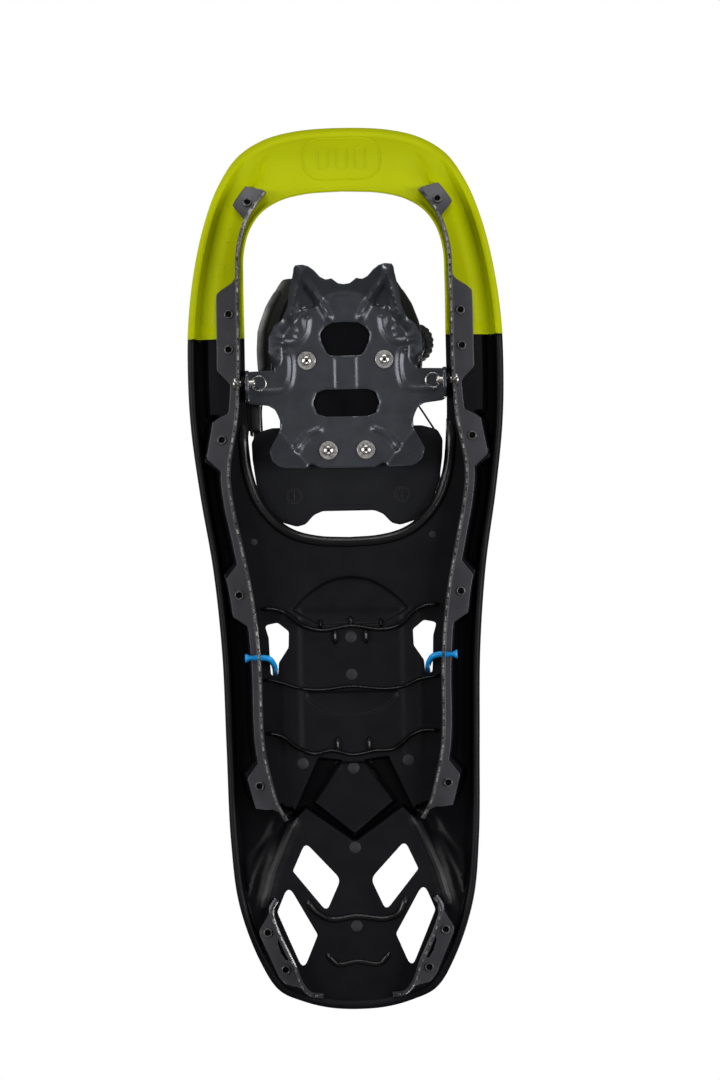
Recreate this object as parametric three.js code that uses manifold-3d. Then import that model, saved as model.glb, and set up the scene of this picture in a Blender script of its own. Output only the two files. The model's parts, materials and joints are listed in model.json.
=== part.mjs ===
// A moulded snowshoe for the right foot: a curved deck on steel traction rails, with a crampon and
// binding that pivot on two clevis pins, and a wire bail that lifts the heel on climbs.
// Millimetres. +Y points to the toe, +Z up, +X to the wearer's right. It stands on its rail teeth at z = 0.
import * as THREE from "three";
import { mergeVertices } from "three/addons/utils/BufferGeometryUtils.js";
import Module from "manifold-3d";

const wasm = await Module();
wasm.setup();

// ---------------------------------------------------------------- driving dimensions

const HALF_LENGTH = 308.5;
const GAP = 0.3; // between pieces that touch
const SIDES = { right: 1, left: -1 };

const DECK_UNDER = 28; // underside of the flat deck above the ground
const DECK_SKIN = 3.2;
const NOSE_BEND_START = 228;
const NOSE_BEND_RADIUS = 80;
const NOSE_BEND_ANGLE = (50 * Math.PI) / 180;
const TAIL_RISE_START = -200;
const TAIL_RISE = 5;
const SEAM_Y = 158; // where the nose shell ends and the rear deck begins

const CHANNEL_WIDTH = 6.5; // the hollow edge beam around the deck
const CHANNEL_DEPTH = 8;
const RIM_DROP = 4;
const OUTLINE_STATIONS = 72;

const SHEET_STEEL = 2.5;
const RAIL_TOP = DECK_UNDER - GAP;
const RAIL_TEETH = 30;
const TOOTH_DEPTH = 7;
const RAIL_FLANGE = 6;
const TAIL_TEETH = 7;

const PIN_Y = 126.3; // the binding pivot
const PIN_Z = 15;
const PIN_RADIUS = 2.5;
const PIN_TIP_X = 62.4;
const EAR_INNER_X = 66.8;
const RING_RADIUS = 5;
const RING_WIRE = 0.6;
const RING_HOLE_RADIUS = 1.15;
const RING_PIVOT_X = 64.7;

const CRAMPON_UNDER = 30;
const CRAMPON_TOP = CRAMPON_UNDER + SHEET_STEEL;
const BASE_UNDER = CRAMPON_TOP + GAP;
const BASE_TOP = BASE_UNDER + 3.8;
const HEEL_PLATE_UNDER = BASE_TOP + GAP;
const HEEL_PLATE_TOP = HEEL_PLATE_UNDER + 3.6;
const SCREW_PLACES = [
  [27, 142],
  [13, 79.5],
];

const BAIL_Y = -63;
const BAIL_Z = 18;
const BAIL_WIRE = 2;
const BAIL_ARM_X = 53;

// The outside of the deck from the toe round the right side to the heel, as x, y.
const OUTLINE_HALF = [
  [0, 308.5],
  [33, 306.5],
  [56, 300],
  [74, 287.5],
  [88, 265],
  [99, 237],
  [106, 207],
  [110.6, 170],
  [111.4, 130],
  [109.5, 95],
  [103.5, 50],
  [95.5, -2],
  [91, -60],
  [89.2, -125],
  [87.6, -190],
  [83.2, -234],
  [70, -274],
  [58.5, -294.5],
  [40, -303.5],
  [20, -307.6],
  [0, -308.5],
];

// The opening that the toe and crampon swing through, as x, y from the toe to the heel.
const TOE_OPENING_HALF = [
  [0, 262.5],
  [26, 261],
  [44, 256],
  [57, 247],
  [65, 234],
  [69, 218],
  [69.7, 200],
  [69.7, 118],
  [69.4, 100],
  [68.4, 82],
  [66, 64],
  [59.8, 46.5],
  [49.1, 32.5],
  [37.4, 24.5],
  [21, 20.2],
  [0, 18.9],
];
const LIP_FIRST = 8; // the rolled lip follows the opening from this point back
const LIP_WIDTH = 6.7;
const LIP_TOP = 7.6;

const UPPER_TAIL_HOLE = [
  [34, -194.5],
  [42.5, -213],
  [20, -238.5],
  [11, -219.5],
];
const LOWER_TAIL_HOLE = [
  [46, -224],
  [53.5, -240],
  [36.5, -277.5],
  [26.5, -257.5],
];
const BAIL_OPENING = [
  [59.6, -41],
  [50.7, -39.2],
  [42.5, -47.6],
  [45.5, -66],
  [50, -76.5],
  [56.2, -76.5],
  [58.4, -62],
  [57.6, -52.5],
];

// The centreline of a side rail's upright blade, as x, y from the toe to the heel.
const RAIL_LINE = [
  [53, 262],
  [60, 253],
  [66.5, 242],
  [72.2, 221],
  [73.2, 186],
  [73.8, 130],
  [76.4, 99],
  [81.3, 71],
  [81.8, 60],
  [79.7, 42],
  [74.9, 18],
  [67, -24],
  [63.2, -66],
  [61.6, -125],
  [56, -153],
  [52.5, -165],
];
// Where the rail's flange widens into riveted tabs: middle y, half length and extra width.
const RAIL_TABS = [
  [254, 7, 11],
  [163, 27, 9.5],
  [86, 10, 10],
  [-19, 11, 9],
  [-153, 9, 9],
];
const TAB_RAMP = 7;
const RIVET_PLACES = [
  [66.6, 254],
  [80.2, 175],
  [80.6, 150.5],
  [86.6, 88],
  [76.6, -19.6],
  [65.2, -152],
];
const TAIL_RAIL_LINE = [
  [54.2, -231],
  [58, -238],
  [54, -252.7],
  [48, -266],
  [43.2, -276.5],
  [38.6, -289],
  [33, -296],
  [24, -297.5],
];
const TAIL_RIVET_PLACES = [
  [61.5, -253.5],
  [49.6, -279.5],
];

// ---------------------------------------------------------------- shape helpers

function clamp01(t) {
  return Math.min(1, Math.max(0, t));
}

// Underside of the deck's skin above the ground: flat, bent up at the toe, a little up at the tail.
function deckUnder(y) {
  const bendRun = NOSE_BEND_RADIUS * Math.sin(NOSE_BEND_ANGLE);
  const run = y - NOSE_BEND_START;
  if (run > bendRun) {
    const bendRise = NOSE_BEND_RADIUS * (1 - Math.cos(NOSE_BEND_ANGLE));
    return DECK_UNDER + bendRise + (run - bendRun) * Math.tan(NOSE_BEND_ANGLE);
  }
  if (run > 0) {
    return DECK_UNDER + NOSE_BEND_RADIUS - Math.sqrt(NOSE_BEND_RADIUS ** 2 - run ** 2);
  }
  const back = clamp01((TAIL_RISE_START - y) / (TAIL_RISE_START + HALF_LENGTH));
  return DECK_UNDER + TAIL_RISE * back ** 2;
}

function deckSlope(y) {
  const step = 0.5;
  return Math.atan2(deckUnder(y + step) - deckUnder(y - step), 2 * step);
}

function mirrored(points) {
  return points.map(([x, ...rest]) => [-x, ...rest]);
}

// Both halves of a shape that is given from toe to heel down its right side.
function bothHalves(half) {
  return [...half, ...mirrored(half.slice(1, -1)).reverse()];
}

function smoothLoop(points, steps) {
  const corners = points.map(([x, y]) => new THREE.Vector3(x, y, 0));
  return new THREE.CatmullRomCurve3(corners, true, "centripetal").getSpacedPoints(steps).slice(0, -1);
}

function smoothLine(points, steps) {
  const corners = points.map(([x, y, z = 0]) => new THREE.Vector3(x, y, z));
  return new THREE.CatmullRomCurve3(corners, false, "centripetal").getSpacedPoints(steps);
}

// Unit vectors in the plane, square to a line of points: to the right of its direction.
function sideways(points, closed) {
  const last = points.length - 1;
  return points.map((point, i) => {
    const before = closed ? points.at(i - 1) : points[Math.max(0, i - 1)];
    const after = closed ? points[(i + 1) % points.length] : points[Math.min(last, i + 1)];
    const along = new THREE.Vector3().subVectors(after, before).normalize();
    return new THREE.Vector3(along.y, -along.x, 0);
  });
}

function signedVolume(points, triangles) {
  let volume = 0;
  const cross = new THREE.Vector3();
  for (const [a, b, c] of triangles) {
    volume += points[a].dot(cross.crossVectors(points[b], points[c]));
  }
  return volume / 6;
}

function flatCap(ring) {
  const normal = new THREE.Vector3();
  ring.forEach((point, i) => {
    const next = ring[(i + 1) % ring.length];
    normal.add(new THREE.Vector3().crossVectors(point, next));
  });
  const turn = new THREE.Quaternion().setFromUnitVectors(normal.normalize(), new THREE.Vector3(0, 0, 1));
  const flat = ring.map((point) => {
    const turned = point.clone().applyQuaternion(turn);
    return new THREE.Vector2(turned.x, turned.y);
  });
  return THREE.ShapeUtils.triangulateShape(flat, []);
}

// A closed solid through rings of equal length, either capped at both ends or joined into a loop.
function loft(rings, loop = false) {
  const count = rings[0].length;
  const points = rings.flat();
  const triangles = [];
  const joints = loop ? rings.length : rings.length - 1;
  for (let r = 0; r < joints; r += 1) {
    const here = r * count;
    const there = ((r + 1) % rings.length) * count;
    for (let i = 0; i < count; i += 1) {
      const j = (i + 1) % count;
      triangles.push([here + i, here + j, there + j], [here + i, there + j, there + i]);
    }
  }
  if (!loop) {
    const far = (rings.length - 1) * count;
    for (const [a, b, c] of flatCap(rings[0])) {
      triangles.push([a, c, b]);
    }
    for (const [a, b, c] of flatCap(rings.at(-1))) {
      triangles.push([far + a, far + b, far + c]);
    }
  }
  const outward = signedVolume(points, triangles) > 0;
  const order = outward ? triangles : triangles.map(([a, b, c]) => [a, c, b]);
  const geometry = new THREE.BufferGeometry().setFromPoints(points);
  geometry.setIndex(order.flat());
  return geometry;
}

function anticlockwise(points) {
  const corners = points.map(([x, y]) => new THREE.Vector2(x, y));
  return THREE.ShapeUtils.isClockWise(corners) ? corners.reverse() : corners;
}

function outlineShape(points, holes = []) {
  const shape = new THREE.Shape(anticlockwise(points));
  shape.holes = holes.map((hole) => new THREE.Path(anticlockwise(hole)));
  return shape;
}

function prism(points, low, high, holes = []) {
  const options = { depth: high - low, bevelEnabled: false };
  return new THREE.ExtrudeGeometry(outlineShape(points, holes), options).translate(0, 0, low);
}

// A flat sheet whose face has these corners in space, thickened to its back.
function sheetPlate(corners, thickness) {
  const face = corners.map((corner) => new THREE.Vector3(...corner));
  const normal = new THREE.Vector3();
  face.forEach((point, i) => {
    const next = face[(i + 1) % face.length];
    normal.add(new THREE.Vector3().crossVectors(point, next));
  });
  normal.normalize();
  const back = face.map((point) => point.clone().addScaledVector(normal, thickness));
  return loft([face, back]);
}

// A turned piece on the Z axis from its radius, height profile.
function turned(profile, segments) {
  const points = profile.map(([radius, height]) => new THREE.Vector2(radius, height));
  return new THREE.LatheGeometry(points, segments).rotateX(Math.PI / 2);
}

function roundRod(points, radius, sides, steps) {
  const section = new THREE.Shape();
  for (let i = 0; i < sides; i += 1) {
    const angle = (2 * Math.PI * i) / sides;
    const corner = [radius * Math.cos(angle), radius * Math.sin(angle)];
    section[i ? "lineTo" : "moveTo"](...corner);
  }
  const path = new THREE.CatmullRomCurve3(
    points.map((point) => new THREE.Vector3(...point)),
    false,
    "centripetal",
  );
  return new THREE.ExtrudeGeometry(section, { steps, extrudePath: path, bevelEnabled: false });
}

function solid(geometry) {
  const bare = geometry.clone();
  bare.deleteAttribute("normal");
  bare.deleteAttribute("uv");
  const merged = mergeVertices(bare, 1e-4);
  const vertProperties = merged.attributes.position.array;
  const triVerts = new Uint32Array(merged.index.array);
  return new wasm.Manifold(new wasm.Mesh({ numProp: 3, vertProperties, triVerts }));
}

function geometryOf(body) {
  const mesh = body.getMesh();
  const geometry = new THREE.BufferGeometry();
  geometry.setAttribute("position", new THREE.BufferAttribute(mesh.vertProperties, 3));
  geometry.setIndex(new THREE.BufferAttribute(mesh.triVerts, 1));
  return geometry.toNonIndexed();
}

function united(geometries) {
  return geometries.map(solid).reduce((sum, next) => sum.add(next));
}

function without(body, cutters) {
  return cutters.map(solid).reduce((rest, cutter) => rest.subtract(cutter), body);
}

function box(low, high) {
  const size = high.map((value, i) => value - low[i]);
  const middle = high.map((value, i) => (value + low[i]) / 2);
  return new THREE.BoxGeometry(...size).translate(...middle);
}

// The outline of a bent strip of sheet, from its middle line, both given as 2-D points.
function stripOutline(line, thickness) {
  const middle = line.map(([x, y]) => new THREE.Vector3(x, y, 0));
  const square = sideways(middle, false);
  const right = middle.map((point, i) => point.clone().addScaledVector(square[i], thickness / 2));
  const left = middle.map((point, i) => point.clone().addScaledVector(square[i], -thickness / 2));
  return [...right, ...left.reverse()].map((point) => [point.x, point.y]);
}

// ---------------------------------------------------------------- materials

const FINISHES = {
  lime_plastic: { color: 0xb6bd05, roughness: 0.35, metalness: 0 },
  black_plastic: { color: 0x101013, roughness: 0.5, metalness: 0 },
  grey_steel: { color: 0x4a4a50, roughness: 0.35, metalness: 0.8 },
  plated_steel: { color: 0xb4b2ae, roughness: 0.25, metalness: 1 },
  dark_rivet: { color: 0x26262a, roughness: 0.35, metalness: 0.7 },
  blue_wire: { color: 0x1a90d8, roughness: 0.35, metalness: 0.2 },
  black_foam: { color: 0x17171a, roughness: 0.9, metalness: 0 },
  black_rubber: { color: 0x0d0d0f, roughness: 0.7, metalness: 0 },
  cable_steel: { color: 0x8c8c90, roughness: 0.3, metalness: 1 },
};

const snowshoe = new THREE.Group();

function addPiece(name, shape, finish) {
  const geometry = shape.isBufferGeometry ? shape : geometryOf(shape);
  geometry.computeVertexNormals();
  const mesh = new THREE.Mesh(geometry, new THREE.MeshStandardMaterial(FINISHES[finish]));
  mesh.name = name;
  snowshoe.add(mesh);
  return mesh;
}

// A piece and its mirror image, named for the side each is on.
function addPair(name, build, finish) {
  for (const [side, sign] of Object.entries(SIDES)) {
    addPiece(`${name}_${side}`, build(sign), finish);
  }
}

// ---------------------------------------------------------------- rivets

// The frame of a rivet: its origin on the underside of the deck, square to the skin.
function rivetFrame([x, y], sign) {
  const turn = new THREE.Matrix4().makeRotationX(deckSlope(y));
  return turn.setPosition(x * sign, y, deckUnder(y));
}

const RIVET_SEGMENTS = 8;
const RIVET_SHANK = 1.9;
const RIVET_HOLE = 2.35;

function rivetPlaces(sign) {
  return [...RIVET_PLACES, ...TAIL_RIVET_PLACES].map((place) => rivetFrame(place, sign));
}

function rivetHoles(sign, low, high) {
  const profile = [
    [0, low],
    [RIVET_HOLE, low],
    [RIVET_HOLE, high],
    [0, high],
  ];
  return rivetPlaces(sign).map((frame) => turned(profile, RIVET_SEGMENTS).applyMatrix4(frame));
}

// A tubular rivet from its rolled end under the rail's flange to its head on top of the deck.
function tubularRivet(under, grip) {
  return turned(
    [
      [0, under - 0.5],
      [2, under - 1.3],
      [3.1, under],
      [RIVET_SHANK, under],
      [RIVET_SHANK, grip],
      [3.4, grip],
      [0, grip + 1.2],
    ],
    RIVET_SEGMENTS,
  );
}

// ---------------------------------------------------------------- deck

function channelAt(y) {
  const fade = clamp01((y + 290) / 90);
  return { width: CHANNEL_WIDTH - 1.5 * (1 - fade), depth: CHANNEL_DEPTH - 4.5 * (1 - fade) };
}

const outline = smoothLoop(bothHalves(OUTLINE_HALF), OUTLINE_STATIONS);
const inward = sideways(outline, true);

function outlineInset(distanceAt) {
  return outline.map((point, i) => {
    const inset = point.clone().addScaledVector(inward[i], distanceAt(point.y));
    return [inset.x, inset.y];
  });
}

// The hollow beam round the deck: an outer rim that hangs down, and a raised channel inside it.
function edgeBeam() {
  const rings = outline.map((point, i) => {
    const { width, depth } = channelAt(point.y);
    const profile = [
      [0.6, -RIM_DROP],
      [0, 3],
      [1.5, depth + 3],
      [width + 2, depth + 3],
      [width + 6.5, 3.1],
      [width + 10, 2.4],
      [width + 10, 0.8],
      [width + 5.5, 0.1],
      [width + 1, depth - 0.2],
      [5.5, depth - 0.2],
      [3.6, -RIM_DROP],
    ];
    return profile.map(([inset, rise]) => {
      const place = point.clone().addScaledVector(inward[i], inset);
      place.z = deckUnder(place.y) + rise;
      return place;
    });
  });
  return loft(rings, true);
}

function toeOpening() {
  const half = smoothLine(TOE_OPENING_HALF, 30).map((point) => [point.x, point.y]);
  return bothHalves(half);
}

function roundedCorners(corners, radius) {
  const rounded = [];
  corners.forEach(([x, y], i) => {
    const [beforeX, beforeY] = corners.at(i - 1);
    const [afterX, afterY] = corners[(i + 1) % corners.length];
    const before = new THREE.Vector2(beforeX - x, beforeY - y).setLength(radius);
    const after = new THREE.Vector2(afterX - x, afterY - y).setLength(radius);
    const middle = before.clone().add(after).multiplyScalar(0.3);
    rounded.push([x + before.x, y + before.y]);
    rounded.push([x + middle.x, y + middle.y]);
    rounded.push([x + after.x, y + after.y]);
  });
  return rounded;
}

function skinHoles() {
  const pairs = [
    [UPPER_TAIL_HOLE, 6],
    [LOWER_TAIL_HOLE, 5],
    [BAIL_OPENING, 2],
  ];
  const holes = pairs.flatMap(([corners, radius]) => {
    const hole = roundedCorners(corners, radius);
    return [hole, mirrored(hole)];
  });
  return [toeOpening(), ...holes];
}

// The flat skin, bent to the deck's rise: a ribbon along Y cut to the outline and its openings.
function deckSkin() {
  const reach = 120;
  const rings = [];
  for (let step = 0; step <= 26; step += 1) {
    const flatSteps = 3;
    const bendSteps = 10;
    const tailSteps = 13;
    let y = NOSE_BEND_START + ((step - tailSteps - flatSteps) * 85) / bendSteps;
    if (step < tailSteps) {
      y = -315 + ((TAIL_RISE_START + 315) * step) / tailSteps;
    } else if (step <= tailSteps + flatSteps) {
      y = TAIL_RISE_START + ((NOSE_BEND_START - TAIL_RISE_START) * (step - tailSteps)) / flatSteps;
    }
    const low = deckUnder(y);
    const high = low + DECK_SKIN / Math.cos(deckSlope(y));
    rings.push([
      new THREE.Vector3(-reach, y, low),
      new THREE.Vector3(reach, y, low),
      new THREE.Vector3(reach, y, high),
      new THREE.Vector3(-reach, y, high),
    ]);
  }
  const border = outlineInset((y) => channelAt(y).width + 5.8);
  return solid(loft(rings)).intersect(solid(prism(border, 0, 200, skinHoles())));
}

// The rolled lip round the back of the toe opening, which the heel plate comes down on.
function openingLip() {
  const back = TOE_OPENING_HALF.slice(LIP_FIRST);
  const line = smoothLine([...back, ...mirrored(back.slice(0, -1)).reverse()], 30);
  const outwardOf = sideways(line, false).map((side) => side.negate());
  const rings = line.map((point, i) => {
    const profile = [
      [-0.5, -2],
      [-0.5, LIP_TOP - 1],
      [1, LIP_TOP],
      [3.5, LIP_TOP],
      [LIP_WIDTH, 2.6],
      [LIP_WIDTH, 0.7],
      [3.5, -2],
    ];
    return profile.map(([out, rise]) => {
      const place = point.clone().addScaledVector(outwardOf[i], out);
      place.z = deckUnder(place.y) + rise;
      return place;
    });
  });
  return loft(rings);
}

// A tongue of the rear deck that laps over the nose shell's arm and is riveted through it.
function lapTongue(sign) {
  const low = DECK_UNDER + DECK_SKIN + GAP;
  const corners = [
    [72.5, 150],
    [72.5, 196],
    [76, 200],
    [86, 200],
    [90, 196],
    [92.5, 150],
  ];
  const tongue = prism(sign > 0 ? corners : mirrored(corners), low - 0.8, low + 3);
  return solid(tongue).subtract(solid(box([-120, SEAM_Y - 0.5, low - 3], [120, 220, low])));
}

const wholeDeck = united([edgeBeam(), openingLip()]).add(deckSkin());
const holesBothSides = Object.values(SIDES).flatMap((sign) => rivetHoles(sign, -6, 12));

const noseHalfSpace = solid(box([-130, SEAM_Y + GAP / 2, -10], [130, 330, 200]));
const rearHalfSpace = solid(box([-130, -330, -10], [130, SEAM_Y - GAP / 2, 200]));
addPiece("nose_shell", without(wholeDeck.intersect(noseHalfSpace), holesBothSides), "lime_plastic");

const rearWithTongues = Object.values(SIDES).reduce(
  (sum, sign) => sum.add(lapTongue(sign)),
  wholeDeck.intersect(rearHalfSpace),
);
addPiece("rear_deck", without(rearWithTongues, holesBothSides), "black_plastic");

// ---------------------------------------------------------------- rails

// The rails stand off the deck's skin by a little more where it bends up.
function railStandOff(y) {
  return GAP + 1.1 * clamp01((y - NOSE_BEND_START) / 15);
}

function tabWidth(y) {
  return RAIL_TABS.reduce((width, [middle, half, extra]) => {
    const past = Math.abs(y - middle) - half;
    return Math.max(width, RAIL_FLANGE + extra * clamp01(1 - past / TAB_RAMP));
  }, RAIL_FLANGE);
}

// An angle of sheet steel on edge: a toothed blade below, and a flange outboard under the deck.
function toothedAngle(line, sign, teeth, bladeDrop, widthAt) {
  const steps = teeth * 2;
  const middle = smoothLine(line, steps);
  const out = sideways(middle, false).map((side) => side.negate());
  const half = SHEET_STEEL / 2;
  const rings = middle.map((point, i) => {
    const end = Math.min(i, steps - i) / 4;
    const drop = bladeDrop * Math.min(1, 0.35 + end * 0.22) - (i % 2 ? TOOTH_DEPTH : 0);
    const width = Math.max(half + 1, widthAt(point.y));
    const profile = [
      [-half, -drop],
      [half, -drop],
      [half, -SHEET_STEEL],
      [width, -SHEET_STEEL],
      [width, 0],
      [-half, 0],
    ];
    return profile.map(([offset, rise]) => {
      const place = point.clone().addScaledVector(out[i], offset);
      place.x *= sign;
      place.z = deckUnder(place.y) - railStandOff(place.y) + rise;
      return place;
    });
  });
  return solid(loft(rings));
}

function crossHole(radius, lowX, highX, y, z, sign) {
  const hole = new THREE.CylinderGeometry(radius, radius, highX - lowX, 16).rotateZ(Math.PI / 2);
  return hole.translate((sign * (lowX + highX)) / 2, y, z);
}

const railHoles = (sign) => [
  ...rivetHoles(sign, -6, 3),
  crossHole(PIN_RADIUS + 0.3, 70, 80, PIN_Y, PIN_Z, sign),
  crossHole(BAIL_WIRE + 0.3, 58, 68, BAIL_Y, BAIL_Z, sign),
];

addPair(
  "side_rail",
  (sign) => without(toothedAngle(RAIL_LINE, sign, RAIL_TEETH, RAIL_TOP, tabWidth), railHoles(sign)),
  "grey_steel",
);

function tailFlangeWidth(y) {
  return 2.4 + 11 * clamp01((y + 290) / 9) * clamp01((-236 - y) / 12);
}

addPair(
  "tail_rail",
  (sign) =>
    without(
      toothedAngle(TAIL_RAIL_LINE, sign, TAIL_TEETH, RAIL_TOP - 5, tailFlangeWidth),
      rivetHoles(sign, -6, 3),
    ),
  "grey_steel",
);

for (const [side, sign] of Object.entries(SIDES)) {
  rivetPlaces(sign).forEach((frame, i) => {
    const lapped = i === 1 || i === 2;
    const grip = DECK_SKIN + GAP + (lapped ? 3 + GAP : 0);
    const y = frame.elements[13];
    const under = -(SHEET_STEEL + railStandOff(y) + 2 * GAP);
    const rivet = addPiece(`rivet_${side}_${i + 1}`, tubularRivet(under, grip), "dark_rivet");
    rivet.applyMatrix4(frame);
  });
}

// ---------------------------------------------------------------- crampon and its pivot

const CRAMPON_HALF = [
  [0, 189],
  [16, 188],
  [30, 182],
  [39, 174],
  [46, 164],
  [46, 141],
  [49, 135.8],
  [EAR_INNER_X + SHEET_STEEL, 135.8],
  [EAR_INNER_X + SHEET_STEEL, 113],
  [54, 110.6],
  [48, 102],
  [46, 94],
  [28, 69],
  [18, 67.2],
  [0, 67.2],
];
const SHIELD_SLOT = [
  [0, 168.5],
  [12, 167.5],
  [17.4, 160],
  [17.4, 155],
  [11.5, 144.5],
  [0, 144.5],
];
const STADIUM_SLOT = [
  [0, 121.8],
  [15, 121.8],
  [21, 119],
  [23.2, 112.3],
  [21, 105.5],
  [15, 102.9],
  [0, 102.9],
];

// Claws are corners of the plate folded down: two on the fold line, then the tip.
function cramponClaws(sign) {
  const top = CRAMPON_TOP - 0.4;
  const claws = [
    [
      [13, 186, top],
      [38, 173, top],
      [36.5, 192, 14],
      [33.7, 208, 4.6],
      [28.5, 209, 4.6],
      [21, 199, 14],
    ],
    [
      [44, 165, top],
      [44, 143, top],
      [52.5, 144, 8],
      [54, 154, 8],
      [52.5, 162, 10],
    ],
    [
      [45.5, 93, top],
      [27.5, 70, top],
      [42, 67.5, 6],
      [52, 72, 4.8],
      [53, 79, 6],
    ],
  ];
  return claws.map((claw) => {
    const corners = claw.map(([x, y, z]) => [x * sign, y, z]);
    return coplanarPlate(corners, SHEET_STEEL);
  });
}

// The corners of a folded claw, moved along Z onto the plane of its fold line and its tip.
function coplanarPlate(corners, thickness) {
  const [foldA, foldB] = corners.map((corner) => new THREE.Vector3(...corner));
  const lowest = corners.reduce((low, corner) => (corner[2] < low[2] ? corner : low));
  const plane = new THREE.Plane().setFromCoplanarPoints(foldA, foldB, new THREE.Vector3(...lowest));
  const flat = corners.map(([x, y]) => {
    const z = -(plane.normal.x * x + plane.normal.y * y + plane.constant) / plane.normal.z;
    return [x, y, z];
  });
  const isClockwise = THREE.ShapeUtils.isClockWise(flat.map(([x, y]) => new THREE.Vector2(x, y)));
  return sheetPlate(isClockwise ? flat : flat.toReversed(), thickness);
}

function earPlate(sign) {
  const points = [
    [PIN_Y - 11, CRAMPON_UNDER + 1],
    [PIN_Y - 11, 12],
    [PIN_Y - 5, 7],
    [PIN_Y + 5, 7],
    [PIN_Y + 9.4, 12],
    [PIN_Y + 9.4, CRAMPON_UNDER + 1],
  ];
  const low = points.map(([y, z]) => new THREE.Vector3(sign * EAR_INNER_X, y, z));
  const high = points.map(([y, z]) => new THREE.Vector3(sign * (EAR_INNER_X + SHEET_STEEL), y, z));
  return loft([low, high]);
}

function cramponPlate() {
  const slots = [bothHalves(SHIELD_SLOT), bothHalves(STADIUM_SLOT)];
  const flat = prism(bothHalves(CRAMPON_HALF), CRAMPON_UNDER, CRAMPON_TOP, slots);
  const folded = Object.values(SIDES).flatMap((sign) => [...cramponClaws(sign), earPlate(sign)]);
  const screwHoles = screwPlaces().map(([x, y]) => screwHole(x, y));
  const pinHoles = Object.values(SIDES).map((sign) =>
    crossHole(PIN_RADIUS + 0.3, 64, 72, PIN_Y, PIN_Z, sign),
  );
  return without(united([flat, ...folded]), [...screwHoles, ...pinHoles]);
}

function screwPlaces() {
  return SCREW_PLACES.flatMap(([x, y]) => [
    [x, y],
    [-x, y],
  ]);
}

function screwHole(x, y) {
  return new THREE.CylinderGeometry(2.8, 2.8, 30, 12).rotateX(Math.PI / 2).translate(x, y, 30);
}

addPiece("crampon_plate", cramponPlate(), "grey_steel");

const WASHER_UNDER = CRAMPON_UNDER - GAP - 1.2;
const WASHER_PROFILE = [
  [2.8, 0],
  [6.3, 0],
  [6.3, 1.2],
  [2.8, 1.2],
  [2.8, 0],
];
const SCREW_PROFILE = [
  [0, -1.9],
  [2.4, -1.9],
  [3.2, -1.3],
  [3.2, 0],
  [2.2, 0],
  [2.2, 8],
  [0, 8],
];
screwPlaces().forEach(([x, y], i) => {
  const washer = addPiece(`washer_${i + 1}`, turned(WASHER_PROFILE, 16), "plated_steel");
  washer.position.set(x, y, WASHER_UNDER);
  const screw = addPiece(`screw_${i + 1}`, turned(SCREW_PROFILE, 12), "plated_steel");
  screw.position.set(x, y, WASHER_UNDER - GAP);
});

// A headed pin through the rail, a bush and the crampon's ear, cross-drilled for its split ring.
function clevisPin(sign) {
  const headX = 75.5;
  const profile = [
    [0, PIN_TIP_X],
    [PIN_RADIUS - 0.6, PIN_TIP_X],
    [PIN_RADIUS, PIN_TIP_X + 0.6],
    [PIN_RADIUS, headX],
    [4.6, headX],
    [4.6, headX + 1.6],
    [3.8, headX + 2.2],
    [0, headX + 2.2],
  ];
  const pin = turned(profile, 12).rotateY((sign * Math.PI) / 2).translate(0, PIN_Y, PIN_Z);
  const drill = new THREE.CylinderGeometry(RING_HOLE_RADIUS, RING_HOLE_RADIUS, 12, 12);
  drill.translate(sign * RING_PIVOT_X, PIN_Y, PIN_Z);
  return solid(pin).subtract(solid(drill));
}

function splitRing(sign) {
  const sagitta = RING_RADIUS - Math.sqrt(RING_RADIUS ** 2 - PIN_RADIUS ** 2);
  const middleX = RING_PIVOT_X + sagitta / 2 - RING_RADIUS;
  return new THREE.TorusGeometry(RING_RADIUS, RING_WIRE, 6, 24).translate(sign * middleX, PIN_Y, PIN_Z);
}

function pivotBush(sign) {
  const profile = [
    [PIN_RADIUS + 0.3, 69.6],
    [5, 69.6],
    [5, 72.1],
    [PIN_RADIUS + 0.3, 72.1],
    [PIN_RADIUS + 0.3, 69.6],
  ];
  return turned(profile, 16).rotateY((sign * Math.PI) / 2).translate(0, PIN_Y, PIN_Z);
}

addPair("clevis_pin", clevisPin, "plated_steel");
addPair("split_ring", splitRing, "plated_steel");
addPair("pivot_bush", pivotBush, "black_rubber");

// ---------------------------------------------------------------- heel lift

const BAIL_ROUTE_HALF = [
  [72, BAIL_Y, BAIL_Z],
  [66, BAIL_Y, BAIL_Z],
  [60, BAIL_Y, BAIL_Z],
  [56.5, BAIL_Y - 1, BAIL_Z + 1],
  [BAIL_ARM_X + 1, BAIL_Y - 4.5, BAIL_Z + 6],
  [BAIL_ARM_X, BAIL_Y - 9, BAIL_Z + 14],
  [BAIL_ARM_X, BAIL_Y - 17, BAIL_Z + 19.5],
  [BAIL_ARM_X - 1, BAIL_Y - 31, BAIL_Z + 19.5],
  [BAIL_ARM_X - 3, BAIL_Y - 40, BAIL_Z + 19.5],
  [BAIL_ARM_X - 10, BAIL_Y - 46.5, BAIL_Z + 19.5],
  [24, BAIL_Y - 48, BAIL_Z + 19.5],
];

function bailWire() {
  const route = [...BAIL_ROUTE_HALF, ...mirrored(BAIL_ROUTE_HALF).reverse()];
  return roundRod(route, BAIL_WIRE, 8, 72);
}

addPiece("heel_lift_bail", bailWire(), "blue_wire");

// ---------------------------------------------------------------- binding

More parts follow.
